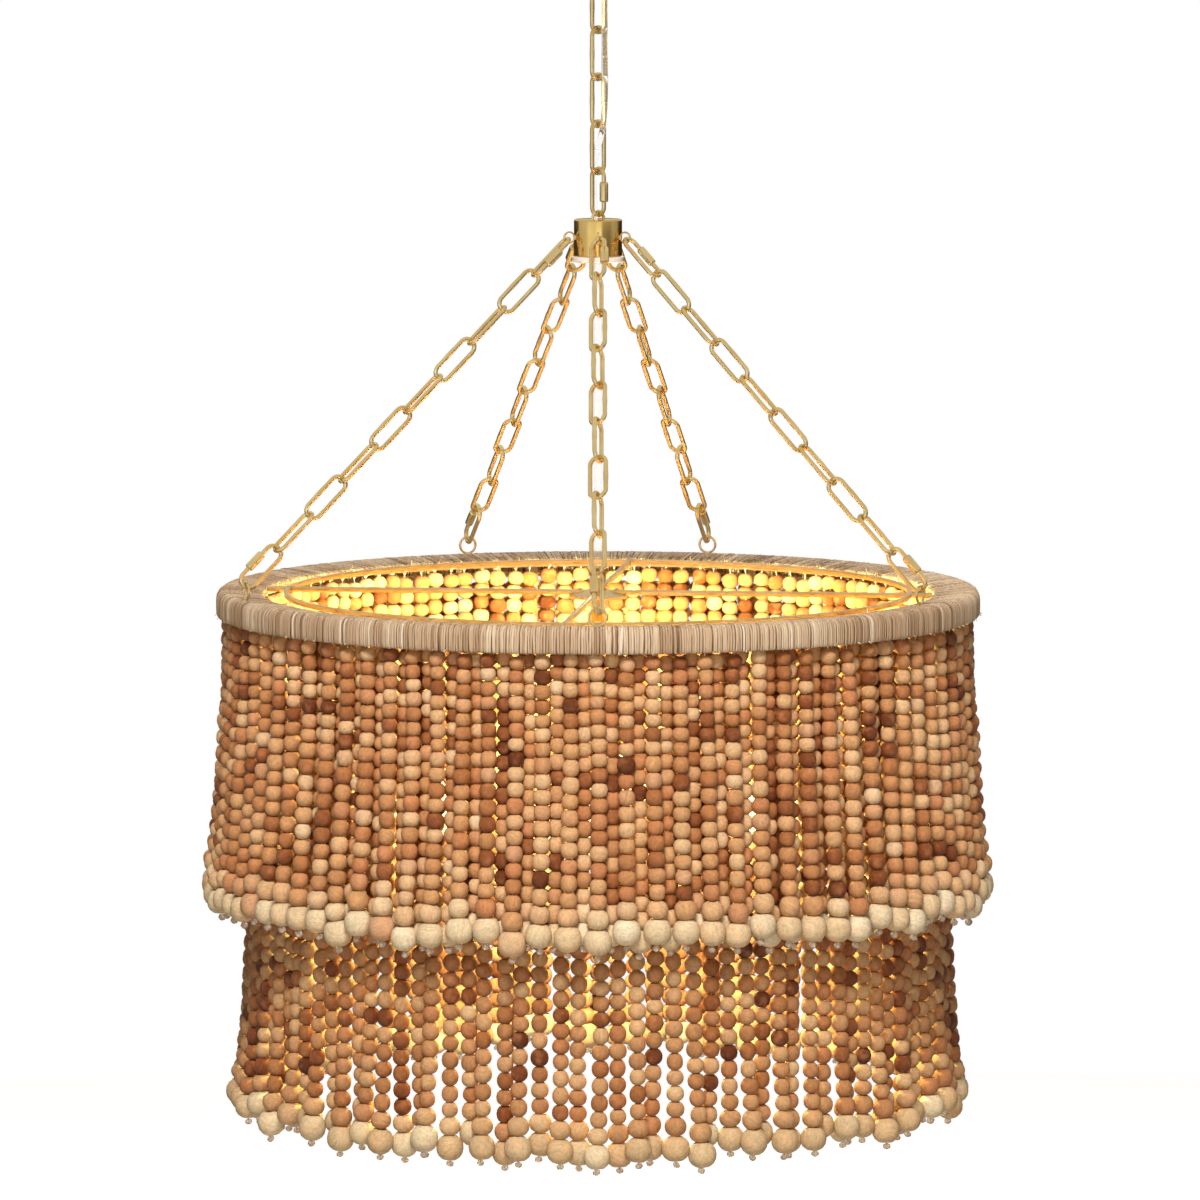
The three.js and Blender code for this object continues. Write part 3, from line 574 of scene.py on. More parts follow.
@dataclass(frozen=True)
class Reed:
    """Dry reed strips: a tone for each strip, fibres along it and a few brown marks.

    On the flat top of the band the strips are also flecked dark and pale.
    """

    name: str
    stops: Stops
    fibre_stops: Stops = (
        (0.0, (0.62, 0.58, 0.54)), (0.5, (0.95, 0.95, 0.95)), (1.0, (1.0, 1.0, 1.0)))
    fibre_scale: Place = (2400.0, 60.0, 60.0)
    stain_scale: Place = (220.0, 70.0, 70.0)
    fleck_scale: Place = (1500.0, 520.0, 520.0)
    stain_tint: Colour = srgb(140, 100, 68)
    dark_tint: Colour = srgb(112, 80, 50)
    pale_tint: Colour = srgb(236, 220, 190)
    fibre_depth: float = 0.0001

    def material(self) -> Material:
        """Writes the node material and returns it."""
        shader = Shader(self.name)
        grain = shader.attribute("grain", "Vector")
        colour = shader.ramp(shader.attribute("tone"), self.stops)
        fibre = shader.noise(shader.scaled(grain, self.fibre_scale), 1.0, 3.0, 0.6)
        stain = shader.noise(shader.scaled(grain, self.stain_scale), 1.0, 3.0)
        fleck = shader.noise(shader.scaled(grain, self.fleck_scale), 1.0, 2.0)
        shade = shader.ramp(shader.between(fibre, 0.28, 0.72), self.fibre_stops)
        marked = shader.mix(1.0, colour, shade, "MULTIPLY")
        stained = shader.between(stain, 0.6, 0.78, 0.0, 0.5)
        marked = shader.mix(stained, marked, self.stain_tint)
        normal = shader.node("NewGeometry").outputs["Normal"]
        facing = shader.node("SeparateXYZ", {0: normal}).outputs["Z"]
        upward = shader.between(facing, 0.5, 0.9)
        dark = shader.math("MULTIPLY", upward, shader.between(fleck, 0.53, 0.61, 0.0, 0.8))
        pale = shader.math("MULTIPLY", upward, shader.between(fleck, 0.37, 0.46, 0.85, 0.0))
        marked = shader.mix(dark, marked, self.dark_tint)
        marked = shader.mix(pale, marked, self.pale_tint)
        shader.wear(Base_Color=marked, Roughness=shader.between(fibre, 0.3, 0.7, 0.62, 0.8),
                    Specular_IOR_Level=0.3)
        shader.bump(fibre, self.fibre_depth)
        return shader.material


@dataclass(frozen=True)
class Clear:
    """Clear or milky plastic and glass with slight clouding."""

    name: str
    tint: Colour
    cloudy: Colour
    transmission: float
    roughness: float
    index: float = 1.45
    cloud_scale: float = 160.0
    cloud_depth: float = 0.00004

    def material(self) -> Material:
        """Writes the node material and returns it."""
        shader = Shader(self.name)
        cloud = shader.noise(shader.place(), self.cloud_scale, 3.0)
        stops = ((0.0, self.cloudy), (1.0, self.tint))
        colour = shader.ramp(shader.between(cloud, 0.3, 0.7), stops)
        rough = shader.between(cloud, 0.3, 0.7, self.roughness, self.roughness + 0.1)
        shader.wear(Base_Color=colour, Transmission_Weight=self.transmission, IOR=self.index,
                    Roughness=rough)
        shader.bump(cloud, self.cloud_depth)
        return shader.material


@dataclass(frozen=True)
class Glow:
    """Frosted bulb glass, lit from inside and a little paler at the middle of the globe."""

    name: str
    core: Colour
    rim: Colour
    strength: float
    cloud_scale: float = 60.0

    def material(self) -> Material:
        """Writes the node material and returns it."""
        shader = Shader(self.name)
        cloud = shader.noise(shader.place(), self.cloud_scale, 2.0)
        facing = shader.node("LayerWeight", {"Blend": 0.4}).outputs["Facing"]
        colour = shader.ramp(cloud, ((0.0, self.rim), (1.0, self.core)))
        shader.wear(Base_Color=colour, Roughness=0.35, Emission_Strength=self.strength,
                    Emission_Color=shader.mix(facing, self.core, self.rim))
        return shader.material


@dataclass(frozen=True)
class Thread:
    """Cotton thread: cream, slightly fuzzy and never shiny."""

    name: str
    tint: Colour
    shadow: float = 0.72
    twist_scale: Place = (900.0, 900.0, 1600.0)
    twist_depth: float = 0.0001

    def material(self) -> Material:
        """Writes the node material and returns it."""
        shader = Shader(self.name)
        twist = shader.noise(shader.scaled(shader.place(), self.twist_scale), 1.0, 2.0)
        darker = tuple(part * self.shadow for part in self.tint)
        shader.wear(Base_Color=shader.ramp(twist, ((0.3, darker), (0.7, self.tint))),
                    Roughness=0.85, Sheen_Weight=0.25)
        shader.bump(twist, self.twist_depth)
        return shader.material


class Finishes:
    """Every finish of the chandelier, made once."""

    def __init__(self) -> None:
        """Writes all the materials."""
        self.brass = Brass(
            "polished_brass", srgb(226, 196, 124), srgb(212, 178, 104), 0.12).material()
        self.chain = Brass(
            "pale_chain_brass", srgb(242, 226, 180), srgb(224, 200, 144), 0.18).material()
        self.bronze = Brass(
            "main_chain_bronze", srgb(226, 206, 156), srgb(204, 180, 126), 0.22).material()
        self.frame = Brass("frame_brass", srgb(250, 246, 226), srgb(238, 230, 200), 0.5).material()
        self.bars = Brass(
            "bar_brass", srgb(236, 214, 168), srgb(218, 190, 138), 0.26,
            (60.0, 60.0, 900.0)).material()
        self.steel = Brass(
            "zinc_steel", srgb(176, 176, 174), srgb(146, 147, 148), 0.38,
            (40.0, 900.0, 900.0)).material()
        self.upper = BeadWood("upper_bead_wood", (
            (0.0, srgb(100, 50, 26)), (0.1, srgb(142, 82, 46)), (0.22, srgb(182, 120, 74)),
            (0.38, srgb(210, 158, 108)), (0.52, srgb(228, 188, 142)), (0.6, srgb(196, 130, 84)),
            (0.68, srgb(232, 200, 158)), (0.86, srgb(226, 198, 156)),
            (1.0, srgb(240, 222, 188)))).material()
        self.lower = BeadWood("lower_bead_wood", (
            (0.0, srgb(86, 42, 22)), (0.1, srgb(128, 70, 38)), (0.22, srgb(166, 106, 62)),
            (0.38, srgb(194, 144, 98)), (0.52, srgb(216, 174, 126)), (0.6, srgb(182, 120, 76)),
            (0.68, srgb(222, 186, 140)), (0.84, srgb(210, 176, 132)),
            (1.0, srgb(234, 214, 176)))).material()
        self.reed = Reed("reed_strips", (
            (0.0, srgb(86, 60, 44)), (0.12, srgb(128, 98, 76)), (0.3, srgb(160, 132, 104)),
            (0.52, srgb(182, 156, 128)), (0.8, srgb(202, 182, 156)),
            (1.0, srgb(230, 220, 202)))).material()
        self.cord = Clear(
            "clear_jacket", srgb(254, 252, 250), srgb(248, 245, 240), 0.94, 0.03, 1.08).material()
        self.disc = Clear(
            "milky_disc", srgb(238, 232, 226), srgb(222, 214, 208), 0.25, 0.3).material()
        self.seed = Clear(
            "clear_seed", srgb(236, 226, 212), srgb(190, 164, 138), 0.6, 0.08, 1.5).material()
        self.thread = Thread("cream_thread", srgb(236, 222, 198)).material()
        self.bulb = Glow("lit_bulb", (1.0, 0.86, 0.48), (1.0, 0.76, 0.32), 1.9).material()


def dress(name: str, finish: Material) -> None:
    """Gives a solid of the frame its finish and leaves its shape alone."""
    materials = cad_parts[name].data.materials
    materials.clear()
    materials.append(finish)


# Studio


@dataclass(frozen=True)
class SoftLight:
    """A square soft light: its place and side in metres, its power in watts and its colour."""

    name: str
    place: Place
    side: float
    power: float
    colour: Colour


@dataclass
class Studio:
    """The camera at the photo's angle, soft lights, a pale floor and a white room.

    The camera looks at a point on the fixture's axis from far away through a long lens. Metal
    mirrors dark cards, which stand at the stops given as shares of a full turn, each with how
    much of the bright room shows there. Above the horizon it mirrors the over light.
    """

    target: Place = (0.0019, 0.0, -0.6455)
    distance: float = 7.23
    pitch_degrees: float = 5.9
    lens: float = 226.08
    sensor: float = 36.0
    view_depth: float = 100.0
    floor_height: float = -2.1
    floor_radius: float = 6.0
    floor_steps: int = 96
    floor_glow: float = 0.87
    floor_tones: tuple[Colour, Colour] = (srgb(176, 174, 170), srgb(184, 182, 178))
    room_colour: Colour = (1.0, 0.7, 0.42)
    room_light: float = 0.065
    gloss_light: float = 1.5
    over_light: Colour = (0.5, 0.45, 0.36)
    over_rise: float = 0.12
    dark_card: Colour = srgb(48, 34, 18)
    cards: tuple[Pair, ...] = (
        (0.0, 0.0), (0.19, 0.02), (0.225, 0.38), (0.34, 0.5), (0.375, 0.78), (0.47, 0.7),
        (0.49, 0.95), (0.54, 0.95), (0.562, 0.2), (0.66, 0.12), (0.71, 0.3), (0.79, 0.26),
        (0.825, 0.0))
    lights: tuple[SoftLight, ...] = (
        SoftLight("key_light", (-0.3, -3.8, 3.2), 1.6, 425.0, (1.0, 0.975, 0.94)),
        SoftLight("fill_light", (0.3, -4.6, -0.9), 2.4, 78.0, (1.0, 0.9, 0.78)),
        SoftLight("back_light", (0.2, 3.8, 1.6), 2.0, 130.0, (1.0, 0.98, 0.95)))

    def camera(self) -> None:
        """Makes the camera and sets it."""
        data = bpy.data.cameras.new("camera")
        data.lens, data.sensor_width = self.lens, self.sensor
        data.clip_end = self.view_depth
        made = bpy.data.objects.new("camera", data)
        pitch = math.radians(self.pitch_degrees)
        away = Vector((0.0, -math.cos(pitch), math.sin(pitch))) * self.distance
        made.location = Vector(self.target) + away
        made.rotation_euler = (QUARTER_TURN - pitch, 0.0, 0.0)
        bpy.context.scene.collection.objects.link(made)
        bpy.context.scene.camera = made

    def hang(self, light: SoftLight) -> None:
        """Hangs a soft light that faces the fixture and that polished metal doesn't mirror."""
        data = bpy.data.lights.new(light.name, "AREA")
        data.size, data.energy, data.color = light.side, light.power, light.colour
        made = bpy.data.objects.new(light.name, data)
        made.location = light.place
        aim = Vector(self.target) - Vector(light.place)
        made.rotation_euler = aim.to_track_quat("-Z", "Y").to_euler()
        made.visible_glossy = False
        bpy.context.scene.collection.objects.link(made)

    def mirrored(self, room: NodeTree) -> Socket:
        """Returns the colour that gloss shows of the room: the cards, and over them the light."""
        way = room.node("SeparateXYZ", {0: room.node("TexCoord").outputs["Generated"]}).outputs
        back = room.math("MULTIPLY", way["Y"], -1.0)
        turn = room.math("ARCTAN2", way["X"], back)
        stops = tuple((place, tuple(dark + (1.0 - dark) * light for dark in self.dark_card))
                      for place, light in self.cards)
        cards = room.ramp(room.between(turn, -math.pi, math.pi), stops)
        return room.mix(room.between(way["Z"], 0.0, self.over_rise), cards, self.over_light)

    def room(self) -> None:
        """Fills the world: white where it is seen, warm and dim as light, cards for gloss."""
        world = bpy.data.worlds.new("room")
        bpy.context.scene.world = world
        world.use_nodes = True
        room = NodeTree(world.node_tree)
        plain = room.tree.nodes["Background"]
        room.feed(plain.inputs["Color"], self.room_colour)
        room.feed(plain.inputs["Strength"], self.room_light)
        mirrored = {"Color": self.mirrored(room), "Strength": self.gloss_light}
        gloss = room.node("Background", mirrored)
        white = room.node("Background", {"Color": (1.0, 1.0, 1.0)})
        glossy = room.node("LightPath").outputs["Is Glossy Ray"]
        lit = room.node("MixShader", {0: glossy, 1: plain.outputs[0], 2: gloss.outputs[0]})
        shown = room.node("MixShader", {0: room.seen(), 1: lit.outputs[0], 2: white.outputs[0]})
        room.feed(room.tree.nodes["World Output"].inputs["Surface"], shown.outputs[0])

    def floor(self) -> None:
        """Lays the pale floor, white to the eye but still shaded by what hangs over it."""
        angle = round_steps(self.floor_steps)
        points = np.stack([self.floor_radius * np.cos(angle), self.floor_radius * np.sin(angle),
                           np.full(self.floor_steps, self.floor_height)], axis=-1)
        mesh = bpy.data.meshes.new("floor")
        mesh.from_pydata(points.tolist(), [], [list(range(self.floor_steps))])
        shader = Shader("pale_floor")
        speck = shader.noise(shader.place(), 3.0, 2.0)
        deep, pale = self.floor_tones
        shader.wear(Base_Color=shader.ramp(speck, ((0.0, deep), (1.0, pale))), Roughness=0.8,
                    Specular_IOR_Level=0.2, Emission_Color=(1.0, 1.0, 1.0),
                    Emission_Strength=shader.math("MULTIPLY", shader.seen(), self.floor_glow))
        mesh.materials.append(shader.material)
        made = bpy.data.objects.new("floor", mesh)
        bpy.context.scene.collection.objects.link(made)

    def build(self) -> None:
        """Sets the whole studio up."""
        bpy.context.scene.view_settings.view_transform = "Standard"
        self.camera()
        self.room()
        self.floor()
        for light in self.lights:
            self.hang(light)
        LOG.info("studio: camera, %d lights, room and floor", len(self.lights))


# Chandelier


def side_angle(turn: float) -> float:
    """Returns the angle about the axis of a place that many degrees round from the front."""
    return -QUARTER_TURN + math.radians(turn)


@dataclass
class Sizes:
    """Sizes that several sub-assemblies share, in millimetres.

    The side chains stand at the named places, turned that many degrees round from the front.
    """

    clearance: float = 0.3
    hub_top: float = -279.9
    hub_height: float = 35.3
    hub_radius: float = 23.0
    band_top: float = -633.9
    band_inner: float = 322.0
    upper_cord_width: float = 5.6
    lower_cord_width: float = 7.0
    cord_tail: float = 8.0
    hub_spigot: float = 4.0
    chain_turn: float = math.pi / 4
    cross_turn: float = math.radians(-6.0)
    places: tuple[str, ...] = ("front", "left", "right", "rear_left", "rear_right")
    turns: tuple[float, ...] = (0.0, -69.0, 62.5, -158.4, 162.0)
    eye_radii: tuple[float, ...] = (355.0, 355.0, 341.0, 355.0, 355.0)
    link_width: float = 20.1
    link_wire: float = 4.3


class LinkKind(Enum):
    """How a link of chain is closed."""

    WELDED = "welded"
    SCREWED = "screwed"


@dataclass
class LinkMaker:
    """Bends oval wire links, with a weld bead or a screw sleeve on one leg."""

    width: float
    wire: float
    sides: int = 12
    weld_reach: float = 4.0
    weld_swell: float = 1.1
    sleeve_radius: float = 4.3
    sleeve_length: float = 19.0
    sleeve_facets: int = 6

    def wire_shape(self, inner: float, kind: LinkKind) -> Shape:
        """Makes the bent wire.

        Args:
            inner: The inner length of the link.
            kind: Whether one leg carries a weld.

        Returns:
            The link in the XY plane, long along X.
        """
        path = oval_path(inner, self.width, self.wire)
        radius = np.full(len(path), self.wire / 2 * MM)
        if kind is LinkKind.WELDED:
            leg = path[:, 1] > (self.width - self.wire) / 2 * MM * 0.98
            near = np.abs(path[:, 0]) < self.weld_reach * MM
            radius = np.where(leg & near, radius * self.weld_swell, radius)
        return tube(path, radius, self.sides, closed=True)

    def sleeve_shape(self) -> Shape:
        """Returns the screw sleeve along X on the leg at positive Y: a barrel with flats."""
        half, full, bore = self.sleeve_length / 2, self.sleeve_radius, self.wire / 2 + 0.05
        profile = [(bore, -half), (full * 0.8, -half), (full * 0.97, -half + 0.9),
                   (full, -half + 1.8), (full, half - 1.8), (full * 0.97, half - 0.9),
                   (full * 0.8, half), (bore, half)]
        points, faces = lathe(profile, 2 * self.sleeve_facets)
        facet = FULL_TURN / self.sleeve_facets
        angle = np.arctan2(points[:, 1], points[:, 0])
        flat = np.cos(facet / 2) / np.cos((angle % facet) - facet / 2)
        outer = np.hypot(points[:, 0], points[:, 1]) > full * MM * 0.9
        points[outer, :2] *= np.maximum(flat, 0.93)[outer, None]
        along_x = points[:, [2, 1, 0]] * np.array([1.0, 1.0, -1.0])
        return along_x + np.array([0.0, (self.width - self.wire) / 2 * MM, 0.0]), faces


@dataclass
class CeilingFixing:
    """The canopy against the ceiling with its screw collar and loop."""

    sizes: Sizes
    finishes: Finishes
    radius: float = 62.0
    height: float = 25.0
    wall: float = 1.6
    rim_wire: float = 0.8
    collar_radius: float = 11.0
    collar_bore: float = 5.3
    collar_height: float = 8.0
    collar_ridges: int = 36
    ridge_depth: float = 0.02
    loop_width: float = 26.0
    loop_wire: float = 4.5
    stem_radius: float = 5.0
    stem_top: float = -3.3
    cord_place: Pair = (8.5, -13.0)

    def canopy(self) -> None:
        """Makes the cup with a rolled rim and the grommet that the cord leaves through."""
        low, bore, wall = -self.height, 6.0, self.wall
        outer = [(bore, low), (self.radius - 12, low), (self.radius - 1.5, low + 11),
                 (self.radius, 0.0)]
        inner = [(self.radius - wall, 0.0), (self.radius - 3.1, low + 11.5),
                 (self.radius - 12.6, low + wall), (bore, low + wall), (bore, low)]
        cup = lathe(rounded(outer, 9.0, 6) + rounded(inner, 8.0, 5), 96)
        angle = round_steps(96)
        rim = np.stack([np.cos(angle), np.sin(angle), np.zeros_like(angle)], axis=-1)
        rim = rim * (self.radius - self.rim_wire) * MM - np.array([0, 0, 1.1 * MM])
        roll = tube(rim, self.rim_wire * MM, 8, closed=True)
        half = self.sizes.upper_cord_width / 2
        grommet = [(half + 0.1, low - 1.2), (half + 2.0, low - 1.2), (half + 2.4, low - 0.1),
                   (half + 0.1, low - 0.1)]
        x, y = self.cord_place
        ring = moved(lathe(grommet, 32), shift=(x * MM, y * MM, 0))
        make("canopy_cup", self.finishes.brass, "canopy", [cup, roll, ring], "ceiling_fixing")

    def collar(self, low: float) -> None:
        """Makes the ridged screw collar from its lower face up."""
        bore, full, top = self.collar_bore, self.collar_radius, low + self.collar_height
        profile = rounded([(bore, low), (full - 0.8, low), (full, low + 1.0), (full, top - 1.0),
                           (full - 0.8, top), (bore, top)], 0.5, 2)
        points, faces = lathe(profile, 2 * self.collar_ridges)
        rim = np.hypot(points[:, 0], points[:, 1]) > (full - 0.2) * MM
        angle = np.arctan2(points[:, 1], points[:, 0])
        groove = np.round(angle * 2 * self.collar_ridges / FULL_TURN) % 2
        points[rim, :2] *= (1 - self.ridge_depth * groove)[rim, None]
        make("canopy_collar_ring", self.finishes.brass, "canopy_collar", [(points, faces)],
             "ceiling_fixing")

    def loop(self, centre: float) -> None:
        """Makes the loop and its threaded stem, with the loop's middle at that height."""
        mean = (self.loop_width - self.loop_wire) / 2
        angle = round_steps(64)
        ring = np.stack([mean * np.cos(angle), np.zeros_like(angle),
                         centre + mean * np.sin(angle)], axis=-1) * MM
        low, top, full = centre + mean, self.stem_top, self.stem_radius
        stem = [(0.0, low), (full - 0.4, low), (full, low + 1.5), (full, top - 0.7),
                (full - 0.6, top), (0.0, top)]
        turn = about("z", self.sizes.chain_turn)
        shapes = [moved(tube(ring, self.loop_wire / 2 * MM, 14, closed=True), turn),
                  moved(lathe(rounded(stem, 0.4, 2), 24), turn)]
        make("canopy_loop_ring", self.finishes.bronze, "canopy_loop", shapes, "ceiling_fixing")

    def build(self) -> float:
        """Makes the pieces and returns the height of the wire that the chain hangs on."""
        self.canopy()
        collar_low = -self.height - self.sizes.clearance - self.collar_height
        self.collar(collar_low)
        centre = collar_low - self.sizes.clearance - self.loop_width / 2
        self.loop(centre)
        dress("ceiling_crossbar", self.finishes.steel)
        return centre - (self.loop_width - self.loop_wire) / 2 + self.loop_wire / 2


@dataclass
class MainChain:
    """Four oval links and a screw link under the canopy's loop, and the clear cord beside them.

    The route is the cord's centre line from the canopy down into the hub.
    """

    sizes: Sizes
    finishes: Finishes
    pitch: float = 44.7
    quick_pitch: float = 40.0
    link_count: int = 4
    wire_sides: int = 16
    cord_steps: int = 260
    cord_sides: int = 20
    bend_reach: float = 9.0
    route: tuple[Place, ...] = (
        (8.5, -13, -14), (8.5, -13, -26), (7.2, -12.8, -46), (6.2, -12.4, -72),
        (6.4, -12.2, -104), (6.8, -12.2, -138), (6.4, -12, -166), (5.4, -11, -184),
        (3.2, -6.6, -199), (0, 0, -212), (-2.6, 6.8, -225), (-4.2, 11.6, -240),
        (-3.8, 13.2, -256), (-3, 13.4, -272), (-3, 13.4, -283), (-3, 13.4, -294))

    def build(self, first_contact: float) -> None:
        """Hangs the links and threads the cord.

        Args:
            first_contact: The height where the first link bears, in millimetres.
        """
        maker = LinkMaker(self.sizes.link_width, self.sizes.link_wire, self.wire_sides)
        upright = about("y", QUARTER_TURN)
        height = first_contact
        for index in range(self.link_count):
            name = f"chain_link_{index + 1}"
            turn = about("z", self.sizes.chain_turn + (index % 2) * QUARTER_TURN) @ upright
            shape = maker.wire_shape(self.pitch + self.sizes.clearance, LinkKind.WELDED)
            link = moved(shape, turn, (0, 0, (height - self.pitch / 2) * MM))
            make(f"main_link_{index + 1}", self.finishes.bronze, name, [link], name)
            height -= self.pitch
        last_turn = self.sizes.chain_turn + (self.link_count % 2) * QUARTER_TURN + math.pi
        turn = about("z", last_turn) @ upright
        shift = (0, 0, (height - self.quick_pitch / 2) * MM)
        shape = maker.wire_shape(self.quick_pitch + self.sizes.clearance, LinkKind.SCREWED)
        make("screw_link_wire", self.finishes.bronze, "quick_link", [moved(shape, turn, shift)],
             "quick_link")
        make("screw_link_sleeve", self.finishes.bronze, "quick_link_sleeve",
             [moved(maker.sleeve_shape(), turn, shift)], "quick_link")
        self.cord(first_contact)

    def joint_heights(self, first_contact: float) -> list[float]:
        """Returns the height of each joint of the chain, from the top down."""
        top_drop, drop = 2.25, 2.3
        inner = [first_contact - index * self.pitch - drop
                 for index in range(1, self.link_count + 1)]
        last = first_contact - self.link_count * self.pitch - self.quick_pitch - drop
        return [first_contact - top_drop, *inner, last]

    def cord(self, first_contact: float) -> None:
        """Makes the cord in stretches that each bend across one joint of the chain."""
        line = spline(np.array(self.route, float) * MM, self.cord_steps)
        joints = self.joint_heights(first_contact)
        cuts = [(upper + lower) / 2 for upper, lower in zip(joints, joints[1:])]
        edges = [math.inf, *cuts, -math.inf]
        for index, joint in enumerate(joints):
            inside = ((line[:, 2] <= edges[index] * MM + 1e-6)
                      & (line[:, 2] >= edges[index + 1] * MM - 1e-6))
            steps = np.flatnonzero(inside)
            run = line[max(steps[0] - 1, 0):steps[-1] + 2]
            piece = MeshMaker(f"upper_cord_{index + 1}")
            piece.add(tube(run, self.sizes.upper_cord_width / 2 * MM, self.cord_sides))
            made = piece.build(self.finishes.cord, "", "clear_cord")
            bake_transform(made)
            if index == 0:
                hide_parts("upper_cord")


@dataclass
class Hub:
    """The brass cylinder that the side chains start from, its loop and the disc below it."""

    sizes: Sizes
    finishes: Finishes
    wall: float = 1.6
    disc_radius: float = 25.3
    disc_thickness: float = 5.4
    loop_height: float = 6.0
    loop_wire: float = 3.0
    loop_tail: float = 6.6
    nut_radius: float = 3.2

    def build(self) -> None:
        """Makes the cup, its loop and the disc."""
        self.cup()
        self.loop()
        self.disc()

    def cup(self) -> None:
        """Makes the cylinder, open below, with the two nuts of the loop inside."""
        sizes, wall, nut_radius = self.sizes, self.wall, self.nut_radius
        top, low = sizes.hub_top, sizes.hub_top - sizes.hub_height
        radius, inner = sizes.hub_radius, sizes.hub_radius - wall
        inside = rounded([(0.0, top - wall), (inner, top - wall), (inner, low + 0.3)], 1.0, 3)
        outside = rounded([(inner + 0.3, low), (radius - 0.3, low), (radius, low + 0.4),
                           (radius, top - 1.0), (radius - 1.0, top), (0.0, top)], 0.4, 3)
        nut = [(0.0, top - 4.4), (nut_radius - 0.2, top - 4.4), (nut_radius, top - 4.0),
               (nut_radius, top - 2.2), (nut_radius - 0.2, top - 1.9), (0.0, top - 1.9)]
        reach = (self.loop_height + self.loop_wire / 2) * math.cos(sizes.chain_turn) * MM
        shapes = [lathe(inside + outside, 128)]
        for way in (-reach, reach):
            shapes.append(moved(lathe(nut, 6), shift=(way, way, 0)))
        make("hub_cup", self.finishes.brass, "hub_body", shapes)

    def loop(self) -> None:
        """Makes the wire arch on top, with its legs through the hub's top."""
        top, staple = self.sizes.hub_top, self.loop_height + self.loop_wire / 2
        angle = np.linspace(math.pi, 0, 25)
        arch = np.stack([staple * np.cos(angle), np.zeros_like(angle),
                         top + staple * np.sin(angle)], axis=-1)
        tail, bend = top - self.loop_tail, top - 2
        path = np.concatenate([[[-staple, 0, tail], [-staple, 0, bend]], arch,
                               [[staple, 0, bend], [staple, 0, tail]]]) * MM
        wire = moved(tube(path, self.loop_wire / 2 * MM, 14), about("z", self.sizes.chain_turn))
        make("hub_top_loop", self.finishes.chain, "hub_loop", [wire])

    def disc(self) -> None:
        """Makes the milky disc with the spigot that stands in the hub."""
        sizes = self.sizes
        low = sizes.hub_top - sizes.hub_height
        hole, spigot = sizes.lower_cord_width / 2 + 0.4, sizes.hub_radius - self.wall - 0.6
        disc_top, spigot_top = low - sizes.clearance, low + sizes.hub_spigot
        disc_low = disc_top - self.disc_thickness
        outline = rounded([(hole, disc_low), (self.disc_radius - 0.6, disc_low),
                           (self.disc_radius, disc_low + 1.2), (self.disc_radius, disc_top),
                           (spigot, disc_top), (spigot, spigot_top), (hole, spigot_top)], 0.8, 3)
        make("hub_milky_disc", self.finishes.disc, "hub_disc", [lathe(outline, 96)],
             slot="frosted_plastic")


